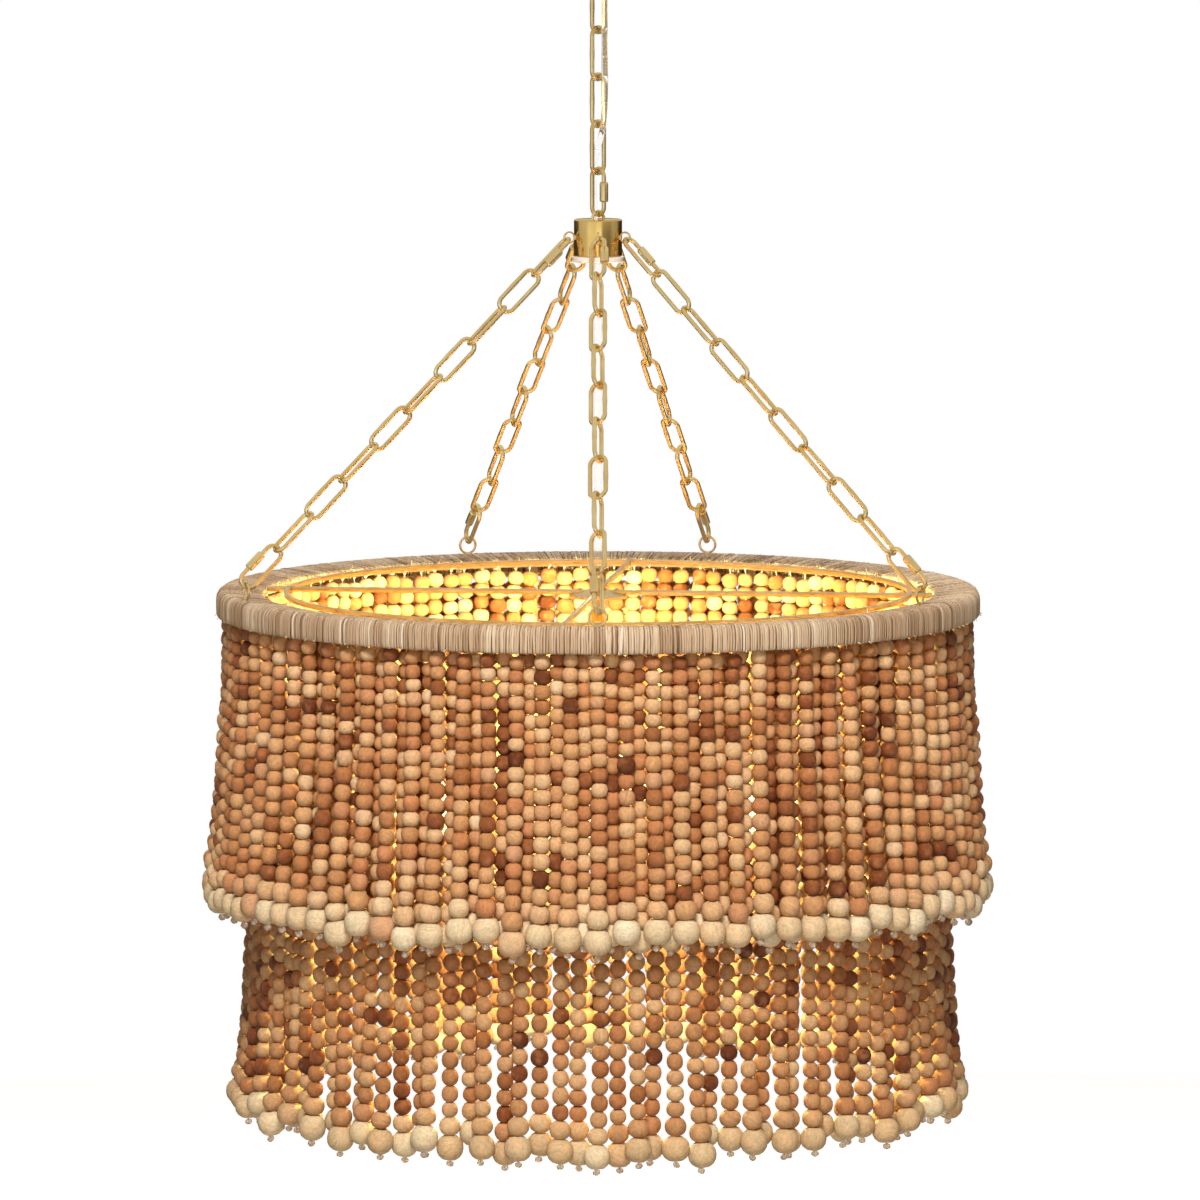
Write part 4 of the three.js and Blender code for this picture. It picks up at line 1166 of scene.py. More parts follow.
@dataclass
class SideChains:
    """Five chains of oval links between the wire eyes of the hub and those of the band."""

    sizes: Sizes
    finishes: Finishes
    link_count: int = 10
    weld: float = 0.9
    hub_eye_drop: float = 17.1
    hub_eye_width: float = 12.1
    hub_eye_wire: float = 1.9
    front_twist: float = 32.0
    loose_twist: float = 9.0
    band_eye_width: float = 18.8
    band_eye_wire: float = 2.4
    band_eye_depth: float = 9.2
    rim_radii: Pair = (322.5, 364.0)
    rim_heights: Pair = (-2.6, 1.4)
    seed: int = 31

    def hub_eye(self, place: str, spin: Array, at: Array) -> None:
        """Makes one wire eye out of the hub's wall, with its middle at a radius and height."""
        radius, height = at
        hub = self.sizes.hub_radius
        ring = wire_ring((self.hub_eye_width - self.hub_eye_wire) / 2, self.hub_eye_wire)
        spot = tuple(spin @ np.array([radius, 0, height]) * MM)
        shank = np.linspace([hub - 4.0, 0, height], [radius - 4.6, 0, height], 6) * MM
        collar = lathe([(0.0, 0.0), (2.1, 0.0), (2.3, 0.3), (2.1, 0.9), (0.0, 1.0)], 20)
        outward = moved(collar, about("y", QUARTER_TURN), (hub * MM, 0, height * MM))
        stem = tube(shank, self.hub_eye_wire / 2 * MM, 10)
        shapes = [moved(ring, spin, spot), moved(stem, spin), moved(outward, spin)]
        make(f"hub_wire_eye_{place}", self.finishes.chain, f"hub_eye_{place}", shapes)

    def chain(self, place: str, spin: Array, hub_eye: Array, band_eye: Array, rng: Draws) -> None:
        """Makes one side chain, whose first and last links are closed by a screw sleeve.

        Args:
            place: The side chain's place.
            spin: The turn to that place.
            hub_eye: The middle of the hub's eye as radius and height, in millimetres.
            band_eye: The top of the band's eye, the same way.
            rng: The source of each link's loose twist.
        """
        sizes, count = self.sizes, self.link_count
        maker = LinkMaker(sizes.link_width, sizes.link_wire)
        along = (band_eye - hub_eye) / np.linalg.norm(band_eye - hub_eye)
        start = hub_eye + along * (self.hub_eye_width / 2 - self.hub_eye_wire)
        span = np.linalg.norm(band_eye + along * self.band_eye_wire / 2 - start)
        pitch = (span + 2 * sizes.clearance - (count - 1) * self.weld) / count
        tilt = about("y", -math.atan2(along[1], along[0]))
        at = (start[0] * MM, 0.0, start[1] * MM)
        links = []
        for index in range(count):
            screwed = index in (0, count - 1)
            kind = LinkKind.SCREWED if screwed else LinkKind.WELDED
            middle = index * (pitch + self.weld) + pitch / 2 - sizes.clearance
            twist = float(rng.uniform(-self.loose_twist, self.loose_twist))
            swing = math.radians(twist + (self.front_twist if place == "front" else 0.0))
            roll = about("x", (QUARTER_TURN if index % 2 else 0.0) + swing)
            shapes = [maker.wire_shape(pitch, kind)]
            if screwed:
                shapes.append(maker.sleeve_shape())
            for shape in shapes:
                straight = moved(moved(shape, roll), shift=(middle * MM, 0, 0))
                links.append(moved(moved(straight, tilt, at), spin))
        make(f"side_links_{place}", self.finishes.chain, f"side_chain_{place}", links)

    def band_eye(self, place: str, spin: Array, radius: float, height: float) -> None:
        """Makes one screw eye on the band, with its middle at that radius and height."""
        sizes = self.sizes
        ring = moved(wire_ring((self.band_eye_width - self.band_eye_wire) / 2, self.band_eye_wire),
                     about("z", QUARTER_TURN))
        low, high = sizes.band_top - self.band_eye_depth, height - 8.2
        stem = np.linspace([radius, 0, low], [radius, 0, high], 8) * MM
        rim = sizes.band_top + float(np.interp(radius, self.rim_radii, self.rim_heights))
        seat = lathe([(0.0, -0.6), (3.4, -0.6), (3.6, 0.3), (3.0, 1.0), (1.4, 1.3), (0.0, 1.4)], 24)
        shapes = [moved(moved(ring, shift=(radius * MM, 0, height * MM)), spin),
                  moved(tube(stem, self.band_eye_wire / 2 * MM, 10), spin),
                  moved(moved(seat, shift=(radius * MM, 0, rim * MM)), spin)]
        make(f"band_screw_eye_{place}", self.finishes.chain, f"band_eye_{place}", shapes)

    def build(self) -> None:
        """Makes each chain with the eyes at its ends."""
        sizes = self.sizes
        hub_eye = np.array([sizes.hub_radius + sizes.clearance + self.hub_eye_width / 2,
                            sizes.hub_top - self.hub_eye_drop])
        height = sizes.band_top + sizes.clearance + self.band_eye_width / 2
        top = height + (self.band_eye_width - self.band_eye_wire) / 2
        rng = np.random.default_rng(self.seed)
        for place, turn, radius in zip(sizes.places, sizes.turns, sizes.eye_radii):
            spin = about("z", side_angle(turn))
            self.hub_eye(place, spin, hub_eye)
            self.chain(place, spin, hub_eye, np.array([radius, top]), rng)
            self.band_eye(place, spin, radius, height)


@dataclass
class ReedBand:
    """The band's core and the reed strips that are wound side by side round it.

    The section is the strips' path over the band as radius and height, from the inner edge
    over the top to the outer edge. A strip's own section is given as shares of its width.
    """

    sizes: Sizes
    finishes: Finishes
    strip_count: int = 940
    loose_count: int = 90
    core_steps: int = 240
    # Painted shade: the core under the strips is painted dark, so that the gaps between strips read
    # as shade.
    core_shade_tone: float = 0.16
    # Painted shade: how much darker the strips are painted along the band's top.
    top_shade_depth: float = 0.02
    # Painted shade: the share of strips painted dark at the inner edge, and how dark, for the
    # shaded gaps there.
    gap_shade_share: float = 0.3
    gap_shade_depth: float = 0.5
    odd_share: float = 0.03
    dark_tone: float = 0.14
    pale_tone: float = 0.86
    batch_share: float = 0.09
    seed: int = 7
    section: tuple[Pair, ...] = (
        (334.0, -7.4), (323.2, -7.3), (321.5, -6.4), (321.2, -4.6), (322.6, -3.1),
        (330.0, -1.9), (341.0, -0.7), (350.0, 0.4), (356.5, 0.8), (360.4, 0.1), (363.3, -2.0),
        (365.0, -5.2), (365.5, -9.6), (365.5, -18.0), (365.3, -22.4), (364.2, -23.9),
        (361.8, -23.8), (360.8, -21.8), (360.8, -14.0))
    strip_section: tuple[Pair, ...] = (
        (-0.5, 0.0), (-0.2, 0.95), (0.2, 0.95), (0.5, 0.0), (0.0, -0.6))
    core: tuple[Pair, ...] = (
        (325.6, -6.6), (361.2, -6.6), (361.2, -23.2), (364.7, -23.2), (364.8, -8.0),
        (364.2, -5.2), (362.4, -2.4), (359.8, -0.6), (356.0, 0.0), (350.0, -0.2),
        (326.4, -3.1), (325.6, -4.2), (325.6, -6.6))

    def strip_points(self, angle: Array, rng: Draws) -> Array:
        """Draws the strips' shapes, each with its own width, lean and lift.

        Args:
            angle: Where each strip is wound.
            rng: The source of the small differences.

        Returns:
            The points in millimetres by strip, place along it and place across it.
        """
        count = len(angle)
        line, across = np.array(self.section), np.array(self.strip_section)
        slope = np.gradient(line, axis=0)
        slope /= np.linalg.norm(slope, axis=1, keepdims=True)
        outward = np.stack([-slope[:, 1], slope[:, 0]], axis=-1)
        pitch = FULL_TURN / count
        width = pitch * rng.uniform(0.9, 1.35, count)
        lean = pitch * rng.normal(0, 0.5, count)
        lift = np.abs(rng.normal(0.0, 0.18, count))
        belly = rng.uniform(0.12, 0.34, count)
        steps = np.arange(len(line))
        place = np.linspace(-0.5, 0.5, len(line))
        neck = np.interp(steps, [0, 4, 6, 9, len(line)], [0.6, 0.6, 0.8, 1.0, 1.0])
        wobble = rng.normal(0, 0.05, (count, len(line))) * pitch
        turn = (angle[:, None, None] + (lean[:, None] * place[None, :])[:, :, None]
                + wobble[:, :, None]
                + (width[:, None] * neck[None, :])[:, :, None] * across[None, None, :, 0])
        raised = lift[:, None, None] + belly[:, None, None] * across[None, None, :, 1]
        radius = line[None, :, None, 0] + outward[None, :, None, 0] * raised
        height = line[None, :, None, 1] + outward[None, :, None, 1] * raised
        return np.stack([radius * np.cos(turn), radius * np.sin(turn),
                         height + self.sizes.band_top], axis=-1)

    def strip_tones(self, angle: Array, rng: Draws) -> Array:
        """Draws the tone of each strip at each place along it.

        Neighbours come from one batch and a few strips are much darker or paler. Some are
        painted dark at the inner edge, as painted shade for the shaded gaps there.

        Args:
            angle: Where each strip is wound.
            rng: The source of the differences.

        Returns:
            The tones by strip and place along it.
        """
        count, steps = len(angle), np.arange(len(self.section))
        drift = np.interp(angle, np.linspace(0, FULL_TURN, 60), rng.normal(0, 0.08, 60))
        batch = np.cumsum(rng.random(count) < self.batch_share)
        batch_tone = rng.normal(0, 0.1, batch[-1] + 1)[batch]
        tone = np.clip(0.5 + drift + batch_tone + rng.normal(0, 0.085, count), 0.12, 0.88)
        tone[rng.random(count) < self.odd_share] = self.dark_tone
        tone[rng.random(count) < self.odd_share] = self.pale_tone
        # Painted shade: every strip is painted a little darker along the top of the band.
        top_shade = np.interp(steps, [3, 5, 9, 11], [0.0, self.top_shade_depth, self.top_shade_depth, 0.0])
        # Painted shade: a share of the strips is painted dark at the inner edge, standing in for
        # the shaded gaps between strips.
        edge = np.interp(steps, [1, 2, 5, 6], [0.0, self.gap_shade_depth, self.gap_shade_depth, 0.0])
        gap_shaded = rng.random(count) < self.gap_shade_share
        return np.clip(tone[:, None] - top_shade[None, :] - edge[None, :] * gap_shaded[:, None], 0.02, 1.0)

    def strips(self, rng: Draws) -> MeshMaker:
        """Winds the strips.

        Args:
            rng: The source of the small differences.

        Returns:
            The mesh of all strips.
        """
        count, rings, sides = self.strip_count, len(self.section), len(self.strip_section)
        index = np.arange(count)
        angle = FULL_TURN / count * (index + rng.normal(0, 0.12, count))
        points = self.strip_points(angle, rng)
        tones = self.strip_tones(angle, rng)
        base = (index * rings * sides)[:, None, None]
        skin = ring_faces(rings, sides, False)[None] + base
        ends = np.stack([np.arange(sides)[::-1], (rings - 1) * sides + np.arange(sides)])
        caps = ends[None] + base
        across = np.array(self.strip_section)[None, None, :, 0]
        grain = np.stack(np.broadcast_arrays(
            across * 0.003 + (index * 0.11)[:, None, None],
            (np.arange(rings) * 0.006)[None, :, None],
            (index * 0.37)[:, None, None]), axis=-1)
        made = MeshMaker("reed_strips_round_band")
        made.add((points.reshape(-1, 3) * MM, [skin.reshape(-1, 4), caps.reshape(-1, sides)]),
                 np.repeat(tones.ravel(), sides), grain.reshape(-1, 3))
        return made

    def loose_ends(self, made: MeshMaker, rng: Draws) -> None:
        """Adds the short ends of strips that stand off the band's edges."""
        top = self.sizes.band_top
        for _ in range(self.loose_count):
            angle = rng.uniform(0, FULL_TURN)
            inner = rng.random() < 0.5
            radius, height = (322.0, top - 4.2) if inner else (365.6, top - 22.6)
            away, rise = (-1.0, 0.7) if inner else (1.0, -0.25)
            length, curl = rng.uniform(3.0, 8.0), rng.uniform(-2.0, 2.0)
            share = np.linspace(0, 1, 6)[:, None]
            line = np.concatenate([radius + away * 1.6 * np.sin(share * 1.8), curl * share ** 2,
                                   height + rise * length * share], axis=1)
            end = tube(line * MM, rng.uniform(0.3, 0.55) * MM, 5)
            made.add(moved(end, about("z", angle)), float(rng.uniform(0.6, 1.0)))

    def build(self) -> None:
        """Makes the core and the strips, and dresses the wire frame inside."""
        rng = np.random.default_rng(self.seed)
        strips = self.strips(rng)
        self.loose_ends(strips, rng)
        core = [(radius, self.sizes.band_top + height) for radius, height in self.core]
        # Painted shade: the core is painted dark so that it reads as shade between the strips.
        strips.add(lathe(core, self.core_steps), self.core_shade_tone)
        strips.build(self.finishes.reed, "fixture", "reed", ("band_wrap",))
        dress("band_frame", self.finishes.frame)


@dataclass
class Cross:
    """The brass ring inside the band, its bars and plate, the cord's grip and the lower cord."""

    sizes: Sizes
    finishes: Finishes
    drop: float = 4.0
    ring_radius: float = 299.0
    bar_width: float = 4.0
    bar_height: float = 5.0
    plate_radius: float = 28.0
    plate_thickness: float = 3.0
    screw_reach: float = 18.0
    grip_radius: float = 8.5
    grip_height: float = 12.0
    cord_steps: int = 90
    cord_sides: int = 24
    cord_waver: float = 0.25

    def bars(self, centre: float) -> None:
        """Makes the ring, the two bars, the plate and its four screw heads.

        Args:
            centre: The height of the bars' middle.
        """
        half, wide, full = self.bar_height / 2, self.bar_width / 2, self.ring_radius
        low, high = centre - half, centre + half
        outline = rounded([(full, low), (full + wide, low), (full + wide, high),
                           (full - wide, high), (full - wide, low), (full, low)], 0.7, 2)
        reach = self.sizes.band_inner - 1.4
        bar = crowned_box((-reach, -wide, low), (reach, wide, high), 0.5)
        turns = [about("z", self.sizes.cross_turn + quarter * QUARTER_TURN) for quarter in range(4)]
        plate_low, plate_radius = low - self.plate_thickness, self.plate_radius
        plate = rounded([(0.0, plate_low), (plate_radius, plate_low), (plate_radius, low + 0.2),
                         (plate_radius - 4.0, low + 0.9), (9.5, high + 0.15), (0.0, high + 0.15)],
                        1.0, 3)
        head = lathe([(0.0, 0.0), (2.6, 0.0), (2.4, 1.1), (1.2, 1.7), (0.0, 1.8)], 20)
        at = np.array([self.screw_reach * MM, 0, (high - 0.1) * MM])
        shapes = [lathe(outline, 240), *(moved(bar, turn) for turn in turns[:2]),
                  lathe(plate, 96), *(moved(head, turn, tuple(turn @ at)) for turn in turns)]
        make("cross_ring_and_bars", self.finishes.bars, "cross_bars", shapes)

    def grip(self, base: float) -> None:
        """Makes the nut that grips the lower cord, from its lower face up."""
        bore, full = self.sizes.lower_cord_width / 2 + 0.3, self.grip_radius
        top = base + self.grip_height
        floor = top - self.sizes.cord_tail
        outline = rounded([(0.0, base), (full, base), (full, base + 4.0), (full - 1.6, base + 5.0),
                           (full - 2.2, top), (bore, top), (bore, floor), (0.0, floor)], 0.8, 3)
        make("cord_grip_nut", self.finishes.brass, "cord_grip", [lathe(outline, 64)])

    def cord(self, low: float, high: float) -> None:
        """Makes the lower cord between those heights, a little wavy."""
        height = np.linspace(low, high, self.cord_steps)
        drift = self.cord_waver * np.sin((height - low) / (high - low) * math.pi)
        line = np.stack([drift * np.sin(height / 31), drift * np.cos(height / 43), height], axis=-1)
        jacket = tube(line * MM, self.sizes.lower_cord_width / 2 * MM, self.cord_sides)
        make("lower_cord_jacket", self.finishes.cord, "lower_cord", [jacket], slot="clear_cord")

    def build(self) -> None:
        """Makes the ring and bars, the grip and the cord."""
        sizes = self.sizes
        centre = sizes.band_top - self.drop
        self.bars(centre)
        base = centre + self.bar_height / 2 + sizes.clearance
        self.grip(base)
        cord_low = base + self.grip_height - sizes.cord_tail + sizes.clearance
        cord_high = sizes.hub_top - sizes.hub_height + sizes.hub_spigot + sizes.cord_tail
        self.cord(cord_low, cord_high)


@dataclass
class Lamps:
    """The stem under the cross, four bent arms, their holders and the lit bulbs."""

    sizes: Sizes
    finishes: Finishes
    stem_top: float = -643.7
    stem_length: float = 80.0
    stem_radius: float = 6.0
    stem_bore: float = 4.0
    body_radius: float = 24.0
    body_height: float = 34.0
    arm_count: int = 4
    reach: float = 168.0
    arm_drop: float = 20.0
    arm_rise: float = 8.0
    arm_radius: float = 5.0
    arm_steps: int = 40
    holder_radius: float = 18.5
    holder_wall: float = 3.0
    holder_height: float = 42.0
    bulb_radius: float = 30.0
    bulb_length: float = 104.0
    bulb_shoulder: float = math.radians(38)
    cap_radius: float = 13.0
    cap_length: float = 25.0
    bulb_power: float = 2.6
    bulb_colour: Colour = (1.0, 0.87, 0.38)
    inner_power: float = 44.0
    inner_height: float = -680.0
    inner_colour: Colour = (1.0, 1.0, 0.46)
    light_radius: float = 0.035

    def stem(self) -> None:
        """Makes the tube that carries the lamps."""
        low, top = self.stem_top - self.stem_length, self.stem_top
        bore, full = self.stem_bore, self.stem_radius
        outline = rounded([(bore, low), (full, low), (full, top), (bore, top)], 0.4, 2)
        make("lamp_stem_tube", self.finishes.brass, "lamp_stem", [lathe(outline, 48)])

    def arms(self, top: float, turns: list[Array]) -> float:
        """Makes the turned body and its arms, and returns the height where the arms end."""
        middle, radius = top - self.body_height / 2, self.body_radius
        arm_end = middle - self.arm_drop
        body = rounded([(0.0, top - 34.0), (5.0, top - 33.0), (6.0, top - 29.0),
                        (13.0, top - 27.0), (radius, middle - 5.0), (radius, middle + 5.0),
                        (14.0, top - 4.0), (12.5, top), (0.0, top)], 3.0, 4)
        nodes = np.array([(radius / 2, 0, middle), (self.reach / 2, 0, middle + self.arm_rise),
                          (self.reach - 3 * self.arm_radius, 0, middle + self.arm_rise / 2),
                          (self.reach, 0, arm_end + self.arm_drop / 2), (self.reach, 0, arm_end)])
        arm = tube(spline(nodes, self.arm_steps) * MM, self.arm_radius * MM, 18)
        make("lamp_body_and_arms", self.finishes.brass, "lamp_arms",
             [lathe(body, 64), *(moved(arm, turn) for turn in turns)])
        return arm_end

    def holder_outline(self, low: float, top: float, seat: float) -> Outline:
        """Returns the profile of a holder between two heights, open below up to its seat."""
        wall, full = self.holder_radius - self.holder_wall, self.holder_radius
        return rounded([(0.0, seat), (wall, seat), (wall, low), (full, low), (full, low + 1.0),
                        (full, top - 7.0), (12.0, top - 2.0), (9.0, top), (0.0, top)], 0.9, 3)

    def bulb_outline(self, low: float, cap_top: float, holder_low: float) -> Outline:
        """Returns the profile of a bulb, from the globe's lowest point to the cap's top."""
        centre, cap = low + self.bulb_radius, self.cap_radius
        angle = np.linspace(-QUARTER_TURN, self.bulb_shoulder, 18)
        globe = [(self.bulb_radius * math.cos(turn), centre + self.bulb_radius * math.sin(turn))
                 for turn in angle[1:]]
        neck = [(19.0, centre + 26.0), (15.5, centre + 34.0),
                (cap + 0.6, holder_low - self.sizes.clearance), (cap, holder_low + 1.0),
                (cap, cap_top - 3.0), (8.0, cap_top), (0.0, cap_top)]
        return [(0.0, low), *globe, *neck]

    def hang_light(self, name: str, power: float, colour: Colour, place: Place) -> None:
        """Hangs one round light inside the curtains, with power in watts."""
        data = bpy.data.lights.new(name, "POINT")
        data.energy, data.color, data.shadow_soft_size = power, colour, self.light_radius
        glow = bpy.data.objects.new(name, data)
        glow.location = place
        glow.visible_glossy = False
        bpy.context.scene.collection.objects.link(glow)
        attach(glow, "fixture")

    def build(self) -> None:
        """Makes the stem, the body with its arms, the holders, the bulbs and their light."""
        gap = self.sizes.clearance
        turns = [about("z", self.sizes.cross_turn + index * QUARTER_TURN)
                 for index in range(self.arm_count)]
        self.stem()
        holder_top = self.arms(self.stem_top - self.stem_length - gap, turns) - gap
        holder_low = holder_top - self.holder_height
        cap_top = holder_low + self.cap_length
        bulb_low = cap_top - self.bulb_length
        cup = self.holder_outline(holder_low, holder_top, cap_top + gap)
        bulb_outline = self.bulb_outline(bulb_low, cap_top, holder_low)
        for index, turn in enumerate(turns):
            at = tuple(turn @ np.array([self.reach * MM, 0, 0]))
            make(f"lamp_holder_cup_{index + 1}", self.finishes.brass, f"lamp_holder_{index + 1}",
                 [moved(lathe(cup, 56), turn, at)])
            bulb = make(f"lit_bulb_{index + 1}", self.finishes.bulb, f"bulb_{index + 1}",
                        [moved(lathe(bulb_outline, 48), turn, at)], slot="bulb_glass")
            bulb.visible_shadow = False
            self.hang_light(f"bulb_light_{index + 1}", self.bulb_power, self.bulb_colour,
                            (at[0], at[1], (bulb_low + self.bulb_radius) * MM))
        self.hang_light("inner_light", self.inner_power, self.inner_colour,
                        (0.0, 0.0, self.inner_height * MM))


def unit_bead(steps: int, rings: int, power: float, flat: float) -> Shape:
    """Makes a bead a unit in radius and in half height, cut flat at its ends and dimpled there.

    Args:
        steps: The number of steps round.
        rings: The number of rings from end to end.
        power: 2 for a round side, more for a squarer barrel.
        flat: The radius of the flat ends, as a share of the bead's.

    Returns:
        The bead about the upright axis.
    """
    shoulder, lip, dimple = 0.965, 0.8, 0.84
    first = math.asin(flat ** (power / 2))
    polar = np.linspace(first, math.pi - first, rings - 2)
    radius = np.sin(polar) ** (2 / power)
    height = -np.sign(np.cos(polar)) * np.abs(np.cos(polar)) ** (2 / power)
    height *= shoulder / np.abs(height).max()
    radius = np.concatenate([[flat * lip], radius, [flat * lip]])
    height = np.concatenate([[-1.0], height, [1.0]])
    angle = round_steps(steps)
    side = np.stack([radius[:, None] * np.cos(angle), radius[:, None] * np.sin(angle),
                     np.repeat(height[:, None], steps, 1)], axis=-1).reshape(-1, 3)
    points = np.concatenate([side, [[0, 0, -dimple], [0, 0, dimple]]])
    low_hub, high_hub = len(side), len(side) + 1
    run = np.arange(steps)
    turn = (run + 1) % steps
    last = (rings - 1) * steps
    under = np.stack([np.full(steps, low_hub), turn, run], axis=-1)
    over = np.stack([np.full(steps, high_hub), last + run, last + turn], axis=-1)
    return points, [ring_faces(rings, steps, False), under, over]


@dataclass
class Settling:
    """How beads push each other apart while they settle. Lengths are in millimetres.

    A bead near the top of its strand is held to its place, and one near the hem swings free.
    """

    rounds: int = 70
    search: float = 31.0
    touch: float = 0.975
    bulge: float = 2.6
    push: float = 0.32
    bend: float = 0.25
    end_pull: float = 0.14
    hold_heights: tuple[float, ...] = (0.0, 60.0, 190.0, 300.0)
    hold_shares: tuple[float, ...] = (0.008, 0.02, 0.16, 0.3)


@dataclass
class Bead:
    """One bead: its middle, its width and height in millimetres, tone, hole's way and strand."""

    centre: Array
    size: Pair
    tone: float
    way: Array
    strand: int


@dataclass
class BeadList:
    """The beads of one curtain."""

    beads: list[Bead] = field(default_factory=list)
    lump: float = 0.014

    def neighbours(self, reach: float) -> tuple[Array, Array]:
        """Returns the pairs of beads on different strands that lie within that reach."""
        tree = KDTree(len(self.beads))
        for index, bead in enumerate(self.beads):
            tree.insert(bead.centre, index)
        tree.balance()
        near = [(index, other) for index, bead in enumerate(self.beads)
                for _, other, _ in tree.find_range(bead.centre, reach)
                if other > index and self.beads[other].strand != bead.strand]
        first, second = np.array(near).T
        return first, second

    def settle(self, walls: tuple[Place, ...], how: Settling) -> None:
        """Pushes beads of different strands apart until they only touch, as when they hang.

        Args:
            walls: From the top down, heights with the least and greatest radius that a bead
                may reach there.
            how: The strength of each push and pull.
        """
        centres = np.array([bead.centre for bead in self.beads])
        sizes = np.array([bead.size for bead in self.beads])
        strands, count = np.array([bead.strand for bead in self.beads]), len(self.beads)
        first, second = self.neighbours(how.search)
        reach = (sizes[first] + sizes[second]) / 2
        level = np.clip(np.abs(centres[first, 2] - centres[second, 2]) / reach[:, 1], 0.0, 1.0)
        need = how.touch * reach[:, 0] * (1 - level ** how.bulge) ** (1 / how.bulge)
        same_above = np.concatenate([[False], strands[1:] == strands[:-1]])
        same_below = np.concatenate([strands[1:] == strands[:-1], [False]])
        middle = np.flatnonzero(same_above & same_below)
        tops, ends = np.flatnonzero(~same_above), np.flatnonzero(~same_below)
        last = centres[ends[np.searchsorted(ends, np.arange(count))], 2]
        hold = np.interp(centres[:, 2] - last, how.hold_heights, how.hold_shares)[:, None]
        levels, least, most = np.array(walls[::-1]).T
        inner = np.interp(centres[:, 2], levels, least) + sizes[:, 0] / 2
        outer = np.interp(centres[:, 2], levels, most) - sizes[:, 0] / 2
        home = centres[:, :2].copy()
        place = home.copy()
        for _ in range(how.rounds):
            gap = place[second] - place[first]
            apart = np.linalg.norm(gap, axis=1)
            short = np.clip(need - apart, 0.0, None) * how.push
            push = gap / apart[:, None] * short[:, None]
            for axis in range(2):
                place[:, axis] += (np.bincount(second, push[:, axis], count)
                                   - np.bincount(first, push[:, axis], count))
            around = (place[middle - 1] + place[middle + 1]) * how.bend
            place[middle] = place[middle] * (1 - 2 * how.bend) + around
            place[ends] = place[ends] * (1 - how.end_pull) + place[ends - 1] * how.end_pull
            place += (home - place) * hold
            place[tops] = home[tops]
            radius = np.linalg.norm(place, axis=1)
            place *= (np.clip(radius, inner, outer) / radius)[:, None]
        for bead, spot in zip(self.beads, place):
            bead.centre = np.array([*spot, bead.centre[2]])

    def mesh(self, name: str, unit: Shape, chosen: Array, rng: Draws) -> MeshMaker:
        """Turns some of the list into one mesh.

        Args:
            name: The piece's name.
            unit: The unit bead.
            chosen: The places in the list of the beads to take.
            rng: The source of each bead's spin and lump.

        Returns:
            The mesh of those beads.
        """
        corners, faces = unit
        beads = [self.beads[index] for index in chosen]
        count = len(beads)
        size = np.array([bead.size for bead in beads])
        spin = rng.uniform(0, FULL_TURN, count)
        lump = rng.normal(0, self.lump, (count, 3))
        half = np.stack([size[:, 0] / 2, size[:, 0] / 2, size[:, 1] / 2], axis=-1)
        shape = corners[None] * half[:, None] * (1 + lump[:, None])
        cos, sin = np.cos(spin)[:, None], np.sin(spin)[:, None]
        flat = np.stack([shape[..., 0] * cos - shape[..., 1] * sin,
                         shape[..., 0] * sin + shape[..., 1] * cos, shape[..., 2]], axis=-1)
        way = np.array([bead.way for bead in beads])
        way /= np.linalg.norm(way, axis=1, keepdims=True)
        east = np.cross(np.array([0.0, 1.0, 0.0])[None], way)
        east /= np.linalg.norm(east, axis=1, keepdims=True)
        north = np.cross(way, east)
        centre = np.array([bead.centre for bead in beads])
        points = (flat[..., :1] * east[:, None] + flat[..., 1:2] * north[:, None]
                  + flat[..., 2:] * way[:, None] + centre[:, None])
        tilt, _ = np.linalg.qr(rng.normal(0, 1, (count, 3, 3)))
        grain = np.einsum("nij,nvj->nvi", tilt, shape) * MM + rng.uniform(-3, 3, (count, 1, 3))
        base = (np.arange(count) * len(corners))[:, None, None]
        blocks = [(block[None] + base).reshape(-1, block.shape[1]) for block in faces]
        tones = np.repeat([bead.tone for bead in beads], len(corners))
        made = MeshMaker(name)
        made.add((points.reshape(-1, 3) * MM, blocks), tones, grain.reshape(-1, 3))
        return made


@dataclass(frozen=True)
class Row:
    """One row of strands: where it hangs in the curtain and how its hem beads look.

    The phase is a share of the pitch between strands. The depths, in millimetres, say how far
    the row hangs inside the curtain's face, and the shift how much higher its hem is.
    """

    hem_width: float
    hem_height: float
    phase: float = 0.5
    depth: float = 0.0
    hem_depth: float = 0.0
    hem_shift: float = 0.0


@dataclass(frozen=True)
class Drawing:
    """How much chance there is in a curtain, as spreads or ranges. Lengths are in millimetres."""

    drift: float = 1.5
    wave: Pair = (0.3, 1.6)
    wave_turns: float = 7.0
    push: float = 1.2
    hem_scale: Pair = (0.94, 1.03)
    start_drop: Pair = (0.3, 5.0)
    bead_height: Pair = (0.9, 1.07)
    bead_width: Pair = (0.93, 1.05)
    neck_height: Pair = (0.92, 1.08)
    neck_width: Pair = (0.94, 1.04)
    loose_drops: Pair = (0.0, 90.0)
    loose_shares: Pair = (1.0, 0.35)
    jitter: float = 0.7
    lean: float = 0.13
    hem_lean: float = 0.07
    seed_lean: float = 0.4
    strand_tone: Pair = (0.36, 0.05)
    strand_tone_limits: Pair = (0.2, 0.52)
    bead_tone: float = 0.14
    bead_tone_limits: Pair = (0.1, 0.6)
    dark_tone: Pair = (0.0, 0.1)
    pink_tone: Pair = (0.56, 0.68)
    pink_from: float = 0.9
    neck_tones: tuple[Pair, ...] = ((0.34, 0.62), (0.62, 0.72))
    neck_shares: Pair = (0.7, 0.3)
    pale_hem_tone: Pair = (0.84, 1.0)
    plain_hem_tone: Pair = (0.62, 0.84)
    loop_slant: Pair = (0.6, 1.8)


